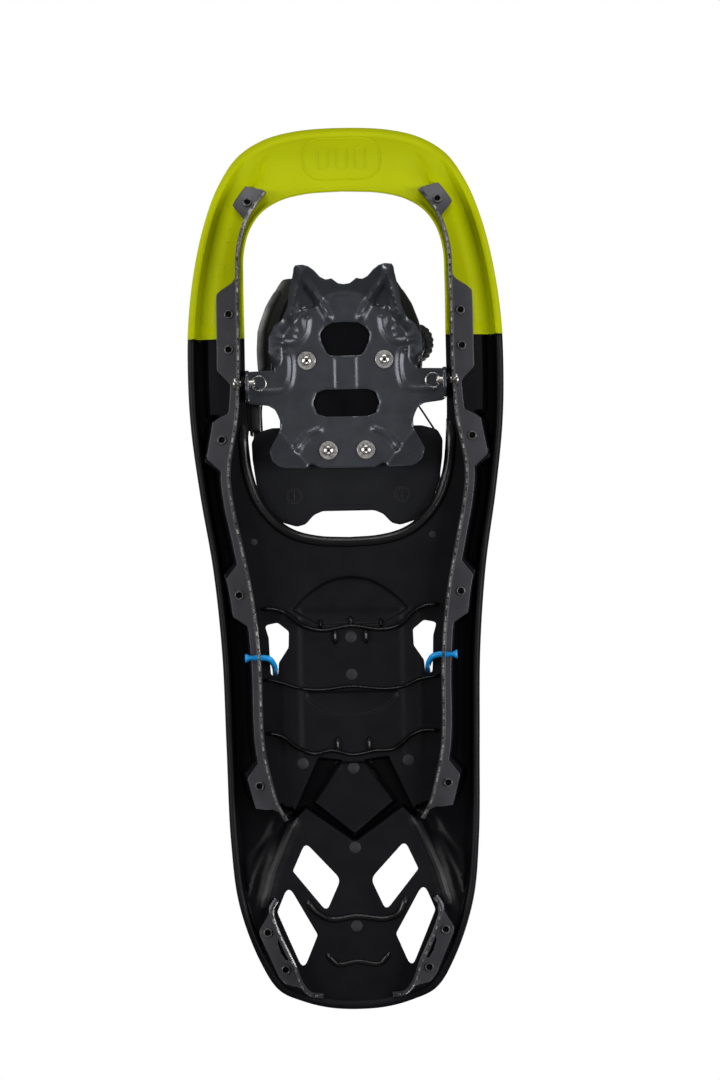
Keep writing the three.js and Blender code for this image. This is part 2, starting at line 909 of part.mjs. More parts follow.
const BASE_HALF = [
  [0, 190],
  [22, 189],
  [33, 181],
  [43, 168],
  [50, 155],
  [52, 135],
  [48, 116],
  [44, 98],
  [40, 76],
  [34, 70],
  [0, 70],
];
const HEEL_PLATE_HALF = [
  [0, 96],
  [52, 96],
  [63, 93],
  [66.5, 86],
  [66, 74],
  [63.5, 56],
  [57, 40],
  [46, 30],
  [36, 27],
  [30, 28.5],
  [24, 35],
  [18, 37.5],
  [0, 37.5],
];

// The low raised treads that the boot's sole and heel stand on, clear of the wings and the strap arms.
const TREAD_RISE = 0.8;
const SOLE_TREAD_HALF = [
  [0, 166],
  [18, 166],
  [26, 156],
  [29, 130],
  [29, 100],
  [0, 100],
];
const HEEL_TREAD_HALF = [
  [0, 92],
  [48, 92],
  [52, 86],
  [52, 62],
  [46, 45],
  [0, 45],
];

const binderHoles = screwPlaces().map(([x, y]) => screwHole(x, y));
const basePlate = united([
  prism(bothHalves(BASE_HALF), BASE_UNDER, BASE_TOP),
  prism(bothHalves(SOLE_TREAD_HALF), BASE_TOP - 1, BASE_TOP + TREAD_RISE),
]);
addPiece("binding_base", without(basePlate, binderHoles), "black_plastic");
const heelPlate = united([
  prism(bothHalves(HEEL_PLATE_HALF), HEEL_PLATE_UNDER, HEEL_PLATE_TOP),
  prism(bothHalves(HEEL_TREAD_HALF), HEEL_PLATE_TOP - 1, HEEL_PLATE_TOP + TREAD_RISE),
]);
addPiece("heel_plate", heelPlate, "black_plastic");

// A binding wing in section, as x, z: from its foot on the base, round the boot, to its laced edge.
const WING_STATIONS = [
  { y: 130, bulge: 59 },
  { y: 150, bulge: 60 },
  { y: 166, bulge: 59 },
  { y: 182, bulge: 53 },
  { y: 200, bulge: 42 },
];
const DIAL_SIDE_TUCK = 8; // the wing that carries the dial stands this much closer in
const WING_SKIN = 3.4;
const LINER_THICKNESS = 4;

function wingLine(bulge, inset) {
  const line = [
    [bulge - 12, BASE_TOP + 2.2],
    [bulge - 3, BASE_TOP + 9],
    [bulge, BASE_TOP + 23],
    [bulge - 5, BASE_TOP + 39],
    [bulge - 17, BASE_TOP + 52],
    [bulge - 32, BASE_TOP + 59],
  ];
  const points = line.map(([x, z]) => new THREE.Vector3(x, z, 0));
  const outOf = sideways(points, false);
  return points.map((point, i) => point.clone().addScaledVector(outOf[i], -inset)).map((p) => [p.x, p.y]);
}

function wingShell(sign, inset, thickness, stations) {
  const tuck = sign < 0 ? DIAL_SIDE_TUCK : 0;
  const rings = stations.map(({ y, bulge }) => {
    const section = stripOutline(wingLine(bulge - tuck, inset), thickness);
    return section.map(([x, z]) => new THREE.Vector3(sign * x, y, z));
  });
  return loft(rings);
}

addPair("binding_wing", (sign) => wingShell(sign, 0, WING_SKIN, WING_STATIONS), "black_rubber");
const linerInset = (WING_SKIN + LINER_THICKNESS) / 2 + GAP;
addPair(
  "wing_liner",
  (sign) => {
    const stations = WING_STATIONS.map(({ y, bulge }, i) => ({ y: y + (i ? -1.5 : 1.5), bulge }));
    return wingShell(sign, linerInset, LINER_THICKNESS, stations);
  },
  "black_foam",
);

// The soft tongue over the instep, under the lace.
function instepPad() {
  const rings = [134, 150, 166, 180].map((y) => {
    const half = 17;
    const top = BASE_TOP + 52;
    const section = [
      [-half, top - 8],
      [-half * 0.6, top - 3.4],
      [half * 0.6, top - 3.4],
      [half, top - 8],
      [half, top - 3],
      [half * 0.6, top + 2.2],
      [-half * 0.6, top + 2.2],
      [-half, top - 3],
    ];
    return section.map(([x, z]) => new THREE.Vector3(x + 4, y, z - (y - 134) * 0.12));
  });
  return loft(rings);
}

addPiece("instep_pad", instepPad(), "black_foam");

// ---------------------------------------------------------------- lace and dial

const LACE_RADIUS = 0.7;
const LACE_TOP = BASE_TOP + 63.2;
const GUIDE_ROWS = [143, 168];
const DIAL_MIDDLE = [-42.5, 156, 88.8];
const DIAL_TILT = (42 * Math.PI) / 180; // from straight up towards the wearer's left
const STRAP_ARM_TOP = 66;

const LACE_ROUTE = [
  [-63, 82, 69.2],
  [-62.5, 91, 69],
  [-57, 101, 71],
  [-50, 112, 77],
  [-42, 122, 88],
  [-30, 133, 97.5],
  [-19, 139, LACE_TOP],
  [0, 142, LACE_TOP + 0.6],
  [20, 142, LACE_TOP],
  [29, 146, LACE_TOP - 1.2],
  [20, 151, LACE_TOP],
  [0, 158, LACE_TOP + 0.6],
  [-14, 164, LACE_TOP],
  [-20.5, 168, LACE_TOP - 0.4],
  [-14, 172, LACE_TOP],
  [0, 172.5, LACE_TOP + 0.6],
  [18, 170.5, LACE_TOP - 0.4],
  [29, 165, LACE_TOP - 1.6],
  [39, 150, 98],
  [48, 138, 92],
  [56, 127, 82],
  [60, 112, 74],
  [60, 98, 71.5],
  [59, 82, 69.2],
];

function laceTube(radius, sides) {
  return roundRod(LACE_ROUTE, radius, sides, 76);
}

addPiece("lace", laceTube(LACE_RADIUS, 8), "cable_steel");

const laceClearance = laceTube(LACE_RADIUS + 0.6, 8);

// Low hooks on the wings' edges that turn the lace, grooved along its run.
function laceGuide(sign, y) {
  const tuck = sign < 0 ? DIAL_SIDE_TUCK : 0;
  const x = sign * (27 - tuck);
  const low = BASE_TOP + 60.8;
  const high = LACE_TOP + 1.8;
  const outlinePoints = roundedCorners(
    [
      [x - 6, y - 6],
      [x + 6, y - 6],
      [x + 6, y + 6],
      [x - 6, y + 6],
    ],
    2.5,
  );
  return solid(prism(outlinePoints, low, high)).subtract(solid(laceClearance));
}

GUIDE_ROWS.forEach((y, row) => {
  addPair(`lace_guide_${row + 1}`, (sign) => laceGuide(sign, y), "black_plastic");
});

function placeOnDial(mesh) {
  mesh.position.set(...DIAL_MIDDLE);
  mesh.rotation.y = -DIAL_TILT;
}

const DIAL_HOUSING = [
  [0, 0],
  [16, 0],
  [16.5, 2],
  [15, 4.5],
  [6.5, 4.5],
  [6.5, 2],
  [0, 2],
];
const DIAL_HUB = [
  [0, 2.4],
  [6, 2.4],
  [6, 7],
  [3.4, 7],
  [3.4, 12],
  [0, 12],
];
const DIAL_KNOB = [
  [3.8, 7.4],
  [13, 7.4],
  [14, 8.6],
  [13.4, 15.4],
  [11.5, 17],
  [3.8, 17],
  [3.8, 7.4],
];
placeOnDial(addPiece("dial_housing", turned(DIAL_HOUSING, 20), "black_plastic"));
placeOnDial(addPiece("dial_hub", turned(DIAL_HUB, 14), "plated_steel"));
placeOnDial(addPiece("dial_knob", turned(DIAL_KNOB, 20), "black_rubber"));

// ---------------------------------------------------------------- heel strap

const STRAP_HALF_HEIGHT = 9;
const STRAP_THICKNESS = 2.6;
const STRAP_ROUTE = [
  [64, 114, 56],
  [64, 92, 56],
  [63.4, 70, 59],
  [61.6, 46, 65],
  [55, 16, 73],
  [40, -16, 80],
  [18, -36, 84],
  [0, -41, 85],
  [-18, -36, 84],
  [-40, -16, 80],
  [-54, 16, 73],
  [-58.8, 44, 65],
  [-59.8, 58, 62],
  [-59.8, 76, 58],
];

// A band on edge along a route, its faces upright.
function band(route, halfHeight, thickness, steps) {
  const line = smoothLine(route, steps);
  const square = sideways(line, false);
  const rings = line.map((point, i) => {
    const section = [
      [-thickness / 2, -halfHeight],
      [thickness / 2, -halfHeight],
      [thickness / 2, halfHeight],
      [-thickness / 2, halfHeight],
    ];
    return section.map(([across, up]) => {
      const place = point.clone().addScaledVector(square[i], across);
      place.z += up;
      return place;
    });
  });
  return loft(rings);
}

addPiece("heel_strap", band(STRAP_ROUTE, STRAP_HALF_HEIGHT, STRAP_THICKNESS, 40), "lime_plastic");

const PAD_ROUTE = [
  [36, -10, 80],
  [26, -22.5, 82],
  [14, -30, 84],
  [0, -32.5, 85],
  [-14, -30, 84],
  [-26, -22.5, 82],
  [-36, -10, 80],
];
addPiece("heel_pad", band(PAD_ROUTE, 14, 6, 14), "black_foam");

const STRAP_ARM_RIGHT_X = 57;
const STRAP_ARM_LEFT_X = 61.5;
const STRAP_ARM_SKIN = 3;

// Side arms that stand on the heel plate and carry the ends of the heel strap.
function strapArm(sign) {
  const points = [
    [44, HEEL_PLATE_TOP + GAP],
    [88, HEEL_PLATE_TOP + GAP],
    [92, 50],
    [86, STRAP_ARM_TOP],
    [62, STRAP_ARM_TOP + 8],
    [52, STRAP_ARM_TOP + 4],
    [46, 52],
  ];
  const inner = sign > 0 ? STRAP_ARM_RIGHT_X : STRAP_ARM_LEFT_X;
  const low = points.map(([y, z]) => new THREE.Vector3(sign * inner, y, z));
  const high = points.map(([y, z]) => new THREE.Vector3(sign * (inner + STRAP_ARM_SKIN), y, z));
  return loft([low, high]);
}

addPair("strap_arm", strapArm, "black_plastic");

// The strap's buckle: a box the strap runs through, and a lever on a pin that clamps it.
const BUCKLE_LOW = [60.4, 91, 43];
const BUCKLE_HIGH = [73.4, 116, 69];
const BUCKLE_PIN_X = 71;
const BUCKLE_PIN_Y = 111.5;
const BUCKLE_PIN_RADIUS = 1.2;
const LEVER_LOW = 45.8;
const LEVER_HIGH = 66.2;

function buckleDrill() {
  const radius = BUCKLE_PIN_RADIUS + 0.3;
  const drill = new THREE.CylinderGeometry(radius, radius, 40, 12).rotateX(Math.PI / 2);
  return drill.translate(BUCKLE_PIN_X, BUCKLE_PIN_Y, (LEVER_LOW + LEVER_HIGH) / 2);
}

function buckleBody() {
  const strapTunnel = box([62, 80, 46], [66, 130, 67]);
  const leverRecess = box([67.6, 80, LEVER_LOW - 0.8], [80, 130, LEVER_HIGH + 0.8]);
  return without(solid(box(BUCKLE_LOW, BUCKLE_HIGH)), [strapTunnel, leverRecess, buckleDrill()]);
}

function buckleLever() {
  const points = [
    [BUCKLE_PIN_X - 2.4, BUCKLE_PIN_Y + 1],
    [BUCKLE_PIN_X - 2.4, BUCKLE_PIN_Y - 14],
    [BUCKLE_PIN_X - 0.5, BUCKLE_PIN_Y - 30],
    [BUCKLE_PIN_X + 2, BUCKLE_PIN_Y - 30],
    [BUCKLE_PIN_X + 2.4, BUCKLE_PIN_Y - 12],
    [BUCKLE_PIN_X + 2.4, BUCKLE_PIN_Y + 1],
    [BUCKLE_PIN_X, BUCKLE_PIN_Y + 2.4],
  ];
  return without(solid(prism(points, LEVER_LOW, LEVER_HIGH)), [buckleDrill()]);
}

const BUCKLE_PIN_PROFILE = [
  [0, BUCKLE_LOW[2]],
  [BUCKLE_PIN_RADIUS, BUCKLE_LOW[2]],
  [BUCKLE_PIN_RADIUS, BUCKLE_HIGH[2]],
  [0, BUCKLE_HIGH[2]],
];
addPiece("buckle_body", buckleBody(), "black_plastic");
addPiece("buckle_lever", buckleLever(), "black_plastic");
const bucklePin = addPiece("buckle_pin", turned(BUCKLE_PIN_PROFILE, 10), "plated_steel");
bucklePin.position.set(BUCKLE_PIN_X, BUCKLE_PIN_Y, 0);

export default snowshoe;
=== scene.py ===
import json
import math

import bpy
import numpy as np
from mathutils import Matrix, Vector
from mathutils.geometry import delaunay_2d_cdt
from mathutils.kdtree import KDTree

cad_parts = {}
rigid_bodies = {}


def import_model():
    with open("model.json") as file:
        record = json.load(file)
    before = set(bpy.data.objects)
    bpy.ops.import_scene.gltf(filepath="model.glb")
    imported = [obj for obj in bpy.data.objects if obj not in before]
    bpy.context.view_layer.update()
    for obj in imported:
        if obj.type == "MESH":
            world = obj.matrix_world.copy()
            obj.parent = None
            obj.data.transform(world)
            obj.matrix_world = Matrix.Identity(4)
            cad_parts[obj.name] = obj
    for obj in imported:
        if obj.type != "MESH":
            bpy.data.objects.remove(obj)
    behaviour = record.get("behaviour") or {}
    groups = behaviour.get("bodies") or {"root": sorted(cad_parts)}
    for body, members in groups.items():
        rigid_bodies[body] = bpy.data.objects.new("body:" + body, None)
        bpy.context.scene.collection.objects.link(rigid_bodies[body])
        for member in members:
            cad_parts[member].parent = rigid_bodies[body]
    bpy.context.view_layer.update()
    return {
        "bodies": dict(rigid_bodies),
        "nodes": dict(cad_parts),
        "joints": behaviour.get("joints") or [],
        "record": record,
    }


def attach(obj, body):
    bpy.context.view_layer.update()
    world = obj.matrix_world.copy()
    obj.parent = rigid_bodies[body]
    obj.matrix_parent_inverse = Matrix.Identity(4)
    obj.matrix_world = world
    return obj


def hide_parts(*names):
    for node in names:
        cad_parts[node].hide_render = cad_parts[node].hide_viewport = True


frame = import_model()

MM = 0.001
SIDES = {"right": 1, "left": -1}
FULL_TURN = 6.2832

# ---------------------------------------------------------------- driving dimensions

HALF_LENGTH = 308.5
DECK_UNDER = 28.0
DECK_SKIN = 3.2
NOSE_BEND_START = 228.0
NOSE_BEND_RADIUS = 80.0
NOSE_BEND_ANGLE = math.radians(50)
TAIL_RISE_START = -200.0
TAIL_RISE = 5.0
SEAM_Y = 158.0
SEAM_LAP = 0.05
GAP = 0.3
RIM_DROP = 4.0
RIM_WIDTH = 5.4
CHANNEL_DEPTH = 7.8
SHEET_STEEL = 2.5
BLADE_HALF = 0.8
RAIL_TOOTH_PITCH = 8.0
RAIL_TOOTH_DEPTH = 4.2
RAIL_FLANGE = 6.0
NOSE_FLANGE = 1.6
PIN_Y = 126.3
PIN_Z = 15.0
CRAMPON_UNDER = 30.0
CLAW_TIP_HEIGHT = 0.5
BASE_UNDER = 32.8
BASE_TOP = 36.6
HEEL_PLATE_UNDER = 36.9
HEEL_PLATE_TOP = 40.5
BAIL_Y = -63.0
BAIL_Z = 18.0
BAIL_ARM_X = 53.0
BAIL_RISE = 19.5

OUTLINE_HALF = [
    (0, 308.5), (33, 306.3), (55, 299.8), (72.3, 287.3), (86, 265), (96.3, 237), (103.4, 207),
    (108.3, 170), (109.3, 130), (107.8, 95), (102.4, 50), (94.4, -2), (89.4, -60), (87.7, -125),
    (85.9, -190), (81, -234), (67.3, -274), (54.4, -294.5), (37.5, -302.6), (19.5, -307.2), (0, -308.5),
]
TOE_OPENING_HALF = [
    (0, 259.5), (26, 258), (44, 253.3), (57, 244.6), (65, 232.4), (69, 217.4), (69.7, 200), (69.7, 160),
    (69.7, 118), (69.4, 100), (68.4, 82), (66, 64), (59.8, 46.5), (49.1, 32.5), (37.4, 24.5),
    (21, 20.2), (0, 18.9),
]
RAIL_LINE = [
    (53, 259.5), (60, 250.5), (66.3, 240), (72, 220), (73.2, 186), (73.8, 130), (76.4, 99),
    (81.3, 71), (81.8, 60), (79.7, 42), (74.9, 18), (67, -24), (63.2, -66), (61.6, -125),
    (56, -153), (52.5, -165), (46.4, -176),
]
# A rail's riveted tabs: where each begins and ends along Y, the run of its slanted ends, its extra width.
RAIL_TABS = [
    (244, 255.5, 4.5, 12.2), (135, 190, 9, 9.5), (73, 99, 7, 10.5), (-33, -5, 8, 9.5), (-163, -143, 8, 9.5),
]
RIVET_PLACES = [(65.8, 251.3), (80.2, 175), (80.6, 150.5), (86.6, 88), (76.6, -19.6), (65.2, -152)]
TAIL_RIVET_PLACES = [(61.5, -253.5), (49.6, -279.5)]
TAIL_RAIL_LINE = [
    (54.2, -231), (58, -238), (54, -252.7), (48, -266), (43.2, -276.5), (38.6, -289), (33, -296),
    (24, -297.5),
]
UPPER_TAIL_HOLE = [(34.5, -191.8), (43.6, -211.6), (20.6, -240.3), (10.4, -217.8)]
LOWER_TAIL_HOLE = [(46.9, -220.9), (54.9, -240), (37.6, -281.2), (27.1, -256.2)]
BAIL_OPENING = [
    (59.6, -41), (50.7, -39.2), (43, -45.4), (43.4, -56.6), (50.4, -67), (51, -76), (56, -76),
    (56.6, -62), (57, -50),
]

# ---------------------------------------------------------------- plane geometry


def smooth(start, end, value):
    """An S-curve from 0 at start to 1 at end."""
    t = np.clip((value - start) / (end - start), 0, 1)
    return t * t * (3 - 2 * t)


def mirrored(points):
    """The same points with X turned round."""
    return [(-p[0], *p[1:]) for p in points]


def both_halves(half):
    """A closed outline from its right half, which starts and ends on the middle line."""
    return half + mirrored(half[1:-1])[::-1]


def curve_through(points, closed=False, per=14):
    """Points along a centripetal Catmull-Rom curve."""
    p = np.array(points, float)
    n = len(p)
    spans = n if closed else n - 1
    out = []
    for i in range(spans):
        p1, p2 = p[i % n], p[(i + 1) % n]
        p0 = p[(i - 1) % n] if closed or i > 0 else 2 * p1 - p2
        p3 = p[(i + 2) % n] if closed or i < n - 2 else 2 * p2 - p1
        t0 = 0.0
        t1 = t0 + max(1e-4, np.linalg.norm(p1 - p0) ** 0.5)
        t2 = t1 + max(1e-4, np.linalg.norm(p2 - p1) ** 0.5)
        t3 = t2 + max(1e-4, np.linalg.norm(p3 - p2) ** 0.5)
        t = np.linspace(t1, t2, per, endpoint=False)[:, None]
        a1 = (t1 - t) / (t1 - t0) * p0 + (t - t0) / (t1 - t0) * p1
        a2 = (t2 - t) / (t2 - t1) * p1 + (t - t1) / (t2 - t1) * p2
        a3 = (t3 - t) / (t3 - t2) * p2 + (t - t2) / (t3 - t2) * p3
        b1 = (t2 - t) / (t2 - t0) * a1 + (t - t0) / (t2 - t0) * a2
        b2 = (t3 - t) / (t3 - t1) * a2 + (t - t1) / (t3 - t1) * a3
        out.append((t2 - t) / (t2 - t1) * b1 + (t - t1) / (t2 - t1) * b2)
    if not closed:
        out.append(p[-1:])
    return np.concatenate(out)


def spaced(line, step, closed=False):
    """The same line with its points about a step apart."""
    pts = np.vstack([line, line[:1]]) if closed else np.asarray(line, float)
    length = np.concatenate([[0], np.cumsum(np.linalg.norm(np.diff(pts, axis=0), axis=1))])
    count = max(2, int(round(length[-1] / step)))
    at = np.linspace(0, length[-1], count + 1)
    even = np.stack([np.interp(at, length, pts[:, k]) for k in range(pts.shape[1])], axis=1)
    return even[:-1] if closed else even


def right_of(line, closed=False):
    """Unit vectors in the plane, to the right of a line's direction."""
    if closed:
        along = np.roll(line, -1, axis=0) - np.roll(line, 1, axis=0)
    else:
        along = np.gradient(line, axis=0)
    along = along[:, :2] / np.maximum(1e-9, np.linalg.norm(along[:, :2], axis=1))[:, None]
    return np.stack([along[:, 1], -along[:, 0]], axis=1)


def distance_to(points, line, closed=False):
    """The distance from each point to a line of straight stretches."""
    a = line if closed else line[:-1]
    b = np.roll(line, -1, axis=0) if closed else line[1:]
    ab = b - a
    square = np.maximum(1e-12, (ab**2).sum(1))
    best = np.empty(len(points))
    chunk = 2000
    for s in range(0, len(points), chunk):
        p = points[s : s + chunk, None, :]
        t = np.clip(((p - a) * ab).sum(-1) / square, 0, 1)
        near = a + t[..., None] * ab
        best[s : s + chunk] = np.sqrt(((p - near) ** 2).sum(-1).min(1))
    return best


def is_inside(points, polygon):
    """Whether each point is inside a polygon, by counting the edges to one side of it."""
    a = np.asarray(polygon, float)
    b = np.roll(a, -1, axis=0)
    inside = np.zeros(len(points), bool)
    chunk = 4000
    for s in range(0, len(points), chunk):
        x = points[s : s + chunk, 0:1]
        y = points[s : s + chunk, 1:2]
        crosses = (a[:, 1] > y) != (b[:, 1] > y)
        rise = np.where(np.abs(b[:, 1] - a[:, 1]) < 1e-12, 1e-12, b[:, 1] - a[:, 1])
        at = a[:, 0] + (y - a[:, 1]) / rise * (b[:, 0] - a[:, 0])
        inside[s : s + chunk] = (np.sum(crosses & (x < at), axis=1) % 2) == 1
    return inside


def signed_distance(points, polygon):
    """Distance to a polygon's edge, positive inside it."""
    polygon = np.asarray(polygon, float)
    distance = distance_to(points, polygon, closed=True)
    return np.where(is_inside(points, polygon), distance, -distance)


def rounded(corners, radius, steps=6):
    """A polygon with its corners turned into arcs of about that radius, or a radius for each corner."""
    pts = np.array(corners, float)
    radii = np.broadcast_to(radius, len(pts))
    out = []
    for i, corner in enumerate(pts):
        before = pts[i - 1] - corner
        after = pts[(i + 1) % len(pts)] - corner
        length_before, length_after = np.linalg.norm(before), np.linalg.norm(after)
        before, after = before / length_before, after / length_after
        angle = math.acos(np.clip(np.dot(before, after), -1, 1))
        cut = min(radii[i] / max(1e-3, math.tan(angle / 2)), 0.45 * length_before, 0.45 * length_after)
        start, end = corner + before * cut, corner + after * cut
        for t in np.linspace(0, 1, steps):
            out.append((1 - t) ** 2 * start + 2 * t * (1 - t) * corner + t**2 * end)
    return np.array(out)


def rounded_loop(corners, radius, step):
    """Corners rounded off, as evenly spaced points round a closed loop."""
    return spaced(rounded(corners, radius), step, closed=True)


def four_corners(x, y, half_x, half_y):
    """The corners of a rectangle round its middle."""
    return [(x + half_x * i, y + half_y * j) for i, j in [(-1, -1), (1, -1), (1, 1), (-1, 1)]]


def circle_points(x, y, radius, count):
    """Evenly spaced points round a circle."""
    turns = np.linspace(0, FULL_TURN, count + 1)[:-1]
    return [(x + radius * math.cos(t), y + radius * math.sin(t)) for t in turns]


def deck_under(y):
    """Height of the deck's plain underside: flat, bent up at the toe, a little up at the tail."""
    y = np.asarray(y, float)
    bend_run = NOSE_BEND_RADIUS * math.sin(NOSE_BEND_ANGLE)
    run = np.clip(y - NOSE_BEND_START, 0, None)
    arc = np.clip(run, 0, bend_run)
    rise = NOSE_BEND_RADIUS - np.sqrt(NOSE_BEND_RADIUS**2 - arc**2)
    rise = rise + (run - arc) * math.tan(NOSE_BEND_ANGLE)
    back = np.clip((TAIL_RISE_START - y) / (TAIL_RISE_START + HALF_LENGTH), 0, 1)
    return DECK_UNDER + rise + TAIL_RISE * back**2


def deck_slope(y):
    """Slope angle of the deck's underside along Y."""
    return np.arctan2(deck_under(y + 0.5) - deck_under(y - 0.5), 1.0)


# ---------------------------------------------------------------- mesh building


class Mesh:
    """Vertices in millimetres, with faces that each name a material number."""

    def __init__(self):
        self.verts = []
        self.faces = []
        self.marks = []
        self.count = 0

    def add(self, verts, faces, mark=0):
        verts = np.asarray(verts, float).reshape(-1, 3)
        self.verts.append(verts)
        self.faces += [tuple(int(i) + self.count for i in face) for face in faces]
        self.marks += [mark] * len(faces) if np.isscalar(mark) else list(mark)
        self.count += len(verts)
        return self

    def join(self, other):
        for_marks = list(other.marks)
        self.add(np.concatenate(other.verts), other.faces, for_marks)
        return self


def piece(name, mesh, materials, body, replaces=(), sharp=38.0):
    """A Blender object from a Mesh, riding on a body in place of the CAD nodes it replaces."""
    data = bpy.data.meshes.new(name)
    verts = np.concatenate(mesh.verts) * MM
    data.from_pydata(verts.tolist(), [], mesh.faces)
    for material in materials:
        data.materials.append(material)
    data.polygons.foreach_set("material_index", mesh.marks)
    data.polygons.foreach_set("use_smooth", [True] * len(data.polygons))
    data.update()
    data.set_sharp_from_angle(angle=math.radians(sharp))
    obj = bpy.data.objects.new(name, data)
    bpy.context.scene.collection.objects.link(obj)
    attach(obj, body)
    if replaces:
        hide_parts(*replaces)
    return obj


def loft(rings, loop=False, cap=True, mark=0):
    """A skin over rings of points. Returned as a Mesh."""
    rings = np.asarray(rings, float)
    count, size = rings.shape[:2]
    faces = []
    for r in range(count if loop else count - 1):
        here, there = r * size, ((r + 1) % count) * size
        for i in range(size):
            j = (i + 1) % size
            faces.append((here + i, here + j, there + j, there + i))
    if cap and not loop:
        faces.append(tuple(range(size))[::-1])
        faces.append(tuple(range((count - 1) * size, count * size)))
    mesh = Mesh().add(rings.reshape(-1, 3), faces, mark)
    return faced_out(mesh)


def faced_out(mesh):
    """The same mesh with its faces turned outward, judged by its volume."""
    verts = np.concatenate(mesh.verts)
    volume = 0.0
    for face in mesh.faces:
        a = verts[face[0]]
        for i in range(1, len(face) - 1):
            volume += np.dot(a, np.cross(verts[face[i]], verts[face[i + 1]]))
    if volume < 0:
        mesh.faces = [face[::-1] for face in mesh.faces]
    return mesh


def tube(path, radius, sides=12, mark=0, loop=False):
    """A round rod along a path. radius is a number or one for each point."""
    path = np.asarray(path, float)
    if loop:
        along = np.roll(path, -1, axis=0) - np.roll(path, 1, axis=0)
    else:
        along = np.gradient(path, axis=0)
    along /= np.linalg.norm(along, axis=1)[:, None]
    radius = np.broadcast_to(np.asarray(radius, float), (len(path),))
    up = np.array([0.0, 0.0, 1.0]) if abs(along[0][2]) < 0.9 else np.array([1.0, 0.0, 0.0])
    normal = np.cross(along[0], up)
    normal /= np.linalg.norm(normal)
    rings = []
    angles = np.linspace(0, 2 * math.pi, sides, endpoint=False)
    for i, point in enumerate(path):
        normal = normal - along[i] * np.dot(normal, along[i])
        normal /= np.linalg.norm(normal)
        other = np.cross(along[i], normal)
        ring = np.cos(angles)[:, None] * normal + np.sin(angles)[:, None] * other
        rings.append(point + ring * radius[i])
    return loft(rings, loop=loop, mark=mark)


def turned(profile, origin=(0, 0, 0), axis=(0, 0, 1), sides=32, mark=0):
    """A turned solid from its radius, height profile, which starts and ends on the axis or closes."""
    axis = np.asarray(axis, float) / np.linalg.norm(axis)
    helper = np.array([1.0, 0, 0]) if abs(axis[0]) < 0.9 else np.array([0, 1.0, 0])
    u = np.cross(axis, helper)
    u /= np.linalg.norm(u)
    v = np.cross(axis, u)
    profile = list(profile)
    closed = profile[0] == profile[-1]
    if closed:
        profile = profile[:-1]
    verts, faces, rows = [], [], []
    angles = np.linspace(0, 2 * math.pi, sides, endpoint=False)
    for radius, height in profile:
        centre = np.asarray(origin, float) + axis * height
        if radius < 1e-6:
            rows.append([len(verts)] * sides)
            verts.append(centre)
        else:
            rows.append(list(range(len(verts), len(verts) + sides)))
            verts += [centre + radius * (math.cos(t) * u + math.sin(t) * v) for t in angles]
    spans = len(rows) if closed else len(rows) - 1
    for r in range(spans):
        low, high = rows[r], rows[(r + 1) % len(rows)]
        for i in range(sides):
            j = (i + 1) % sides
            corners = [low[i], low[j], high[j], high[i]]
            face = [c for k, c in enumerate(corners) if c != corners[k - 1]]
            if len(face) > 2:
                faces.append(tuple(face))
    return faced_out(Mesh().add(verts, faces, mark))


def plan_mesh(border, holes, pitch, features=()):
    """Triangles over the plan inside a border and outside its holes, with rows of points where asked."""
    border = np.asarray(border, float)
    holes = [np.asarray(hole, float) for hole in holes]
    fixed = np.vstack([border, *holes])
    edges = []
    start = 0
    for loop in [border, *holes]:
        edges += [(start + i, start + (i + 1) % len(loop)) for i in range(len(loop))]
        start += len(loop)
    low, high = border.min(0), border.max(0)
    rows = np.arange(low[1], high[1], pitch * math.sqrt(3) / 2)
    grid = []
    for k, y in enumerate(rows):
        across = np.arange(low[0] + (pitch / 2) * (k % 2), high[0], pitch)
        grid.append(np.column_stack([across, np.full(len(across), y)]))
    wanted = [np.asarray(f, float)[:, :2] for f in features]
    placed = []
    taken = KDTree(200000)
    for i, point in enumerate(fixed):
        taken.insert((point[0], point[1], 0), i)
    taken.balance()
    number = len(fixed)

    def inside_region(points):
        keep = is_inside(points, border)
        for hole in holes:
            keep &= ~is_inside(points, hole)
        return points[keep]

    def clear_of(points, tree, gap):
        return [p for p in points if tree.find((p[0], p[1], 0))[2] > gap]

    for line in wanted:
        gap = 0.35
        placed += clear_of(inside_region(line), taken, gap)
    sparse = KDTree(number + len(placed))
    for i, point in enumerate([*fixed, *placed]):
        sparse.insert((point[0], point[1], 0), i)
    sparse.balance()
    filler = clear_of(inside_region(np.vstack(grid)), sparse, pitch * 0.62)
    points = np.vstack([fixed, *([np.array(placed)] if placed else []), np.array(filler)])
    result = delaunay_2d_cdt([Vector(p) for p in points], edges, [], 0, 1e-4)
    verts = np.array([(v.x, v.y) for v in result[0]])
    tris = np.array([f for f in result[2] if len(f) == 3])
    a, b, c = verts[tris[:, 0]], verts[tris[:, 1]], verts[tris[:, 2]]
    area = (b[:, 0] - a[:, 0]) * (c[:, 1] - a[:, 1]) - (b[:, 1] - a[:, 1]) * (c[:, 0] - a[:, 0])
    tris[area < 0] = tris[area < 0][:, ::-1]
    middles = (a + b + c) / 3
    keep = is_inside(middles, border)
    for hole in holes:
        keep &= ~is_inside(middles, hole)
    keep &= np.abs(area) > 1e-6
    tris = tris[keep]
    used = np.unique(tris)
    renumber = np.full(len(verts), -1)
    renumber[used] = np.arange(len(used))
    return verts[used], renumber[tris]


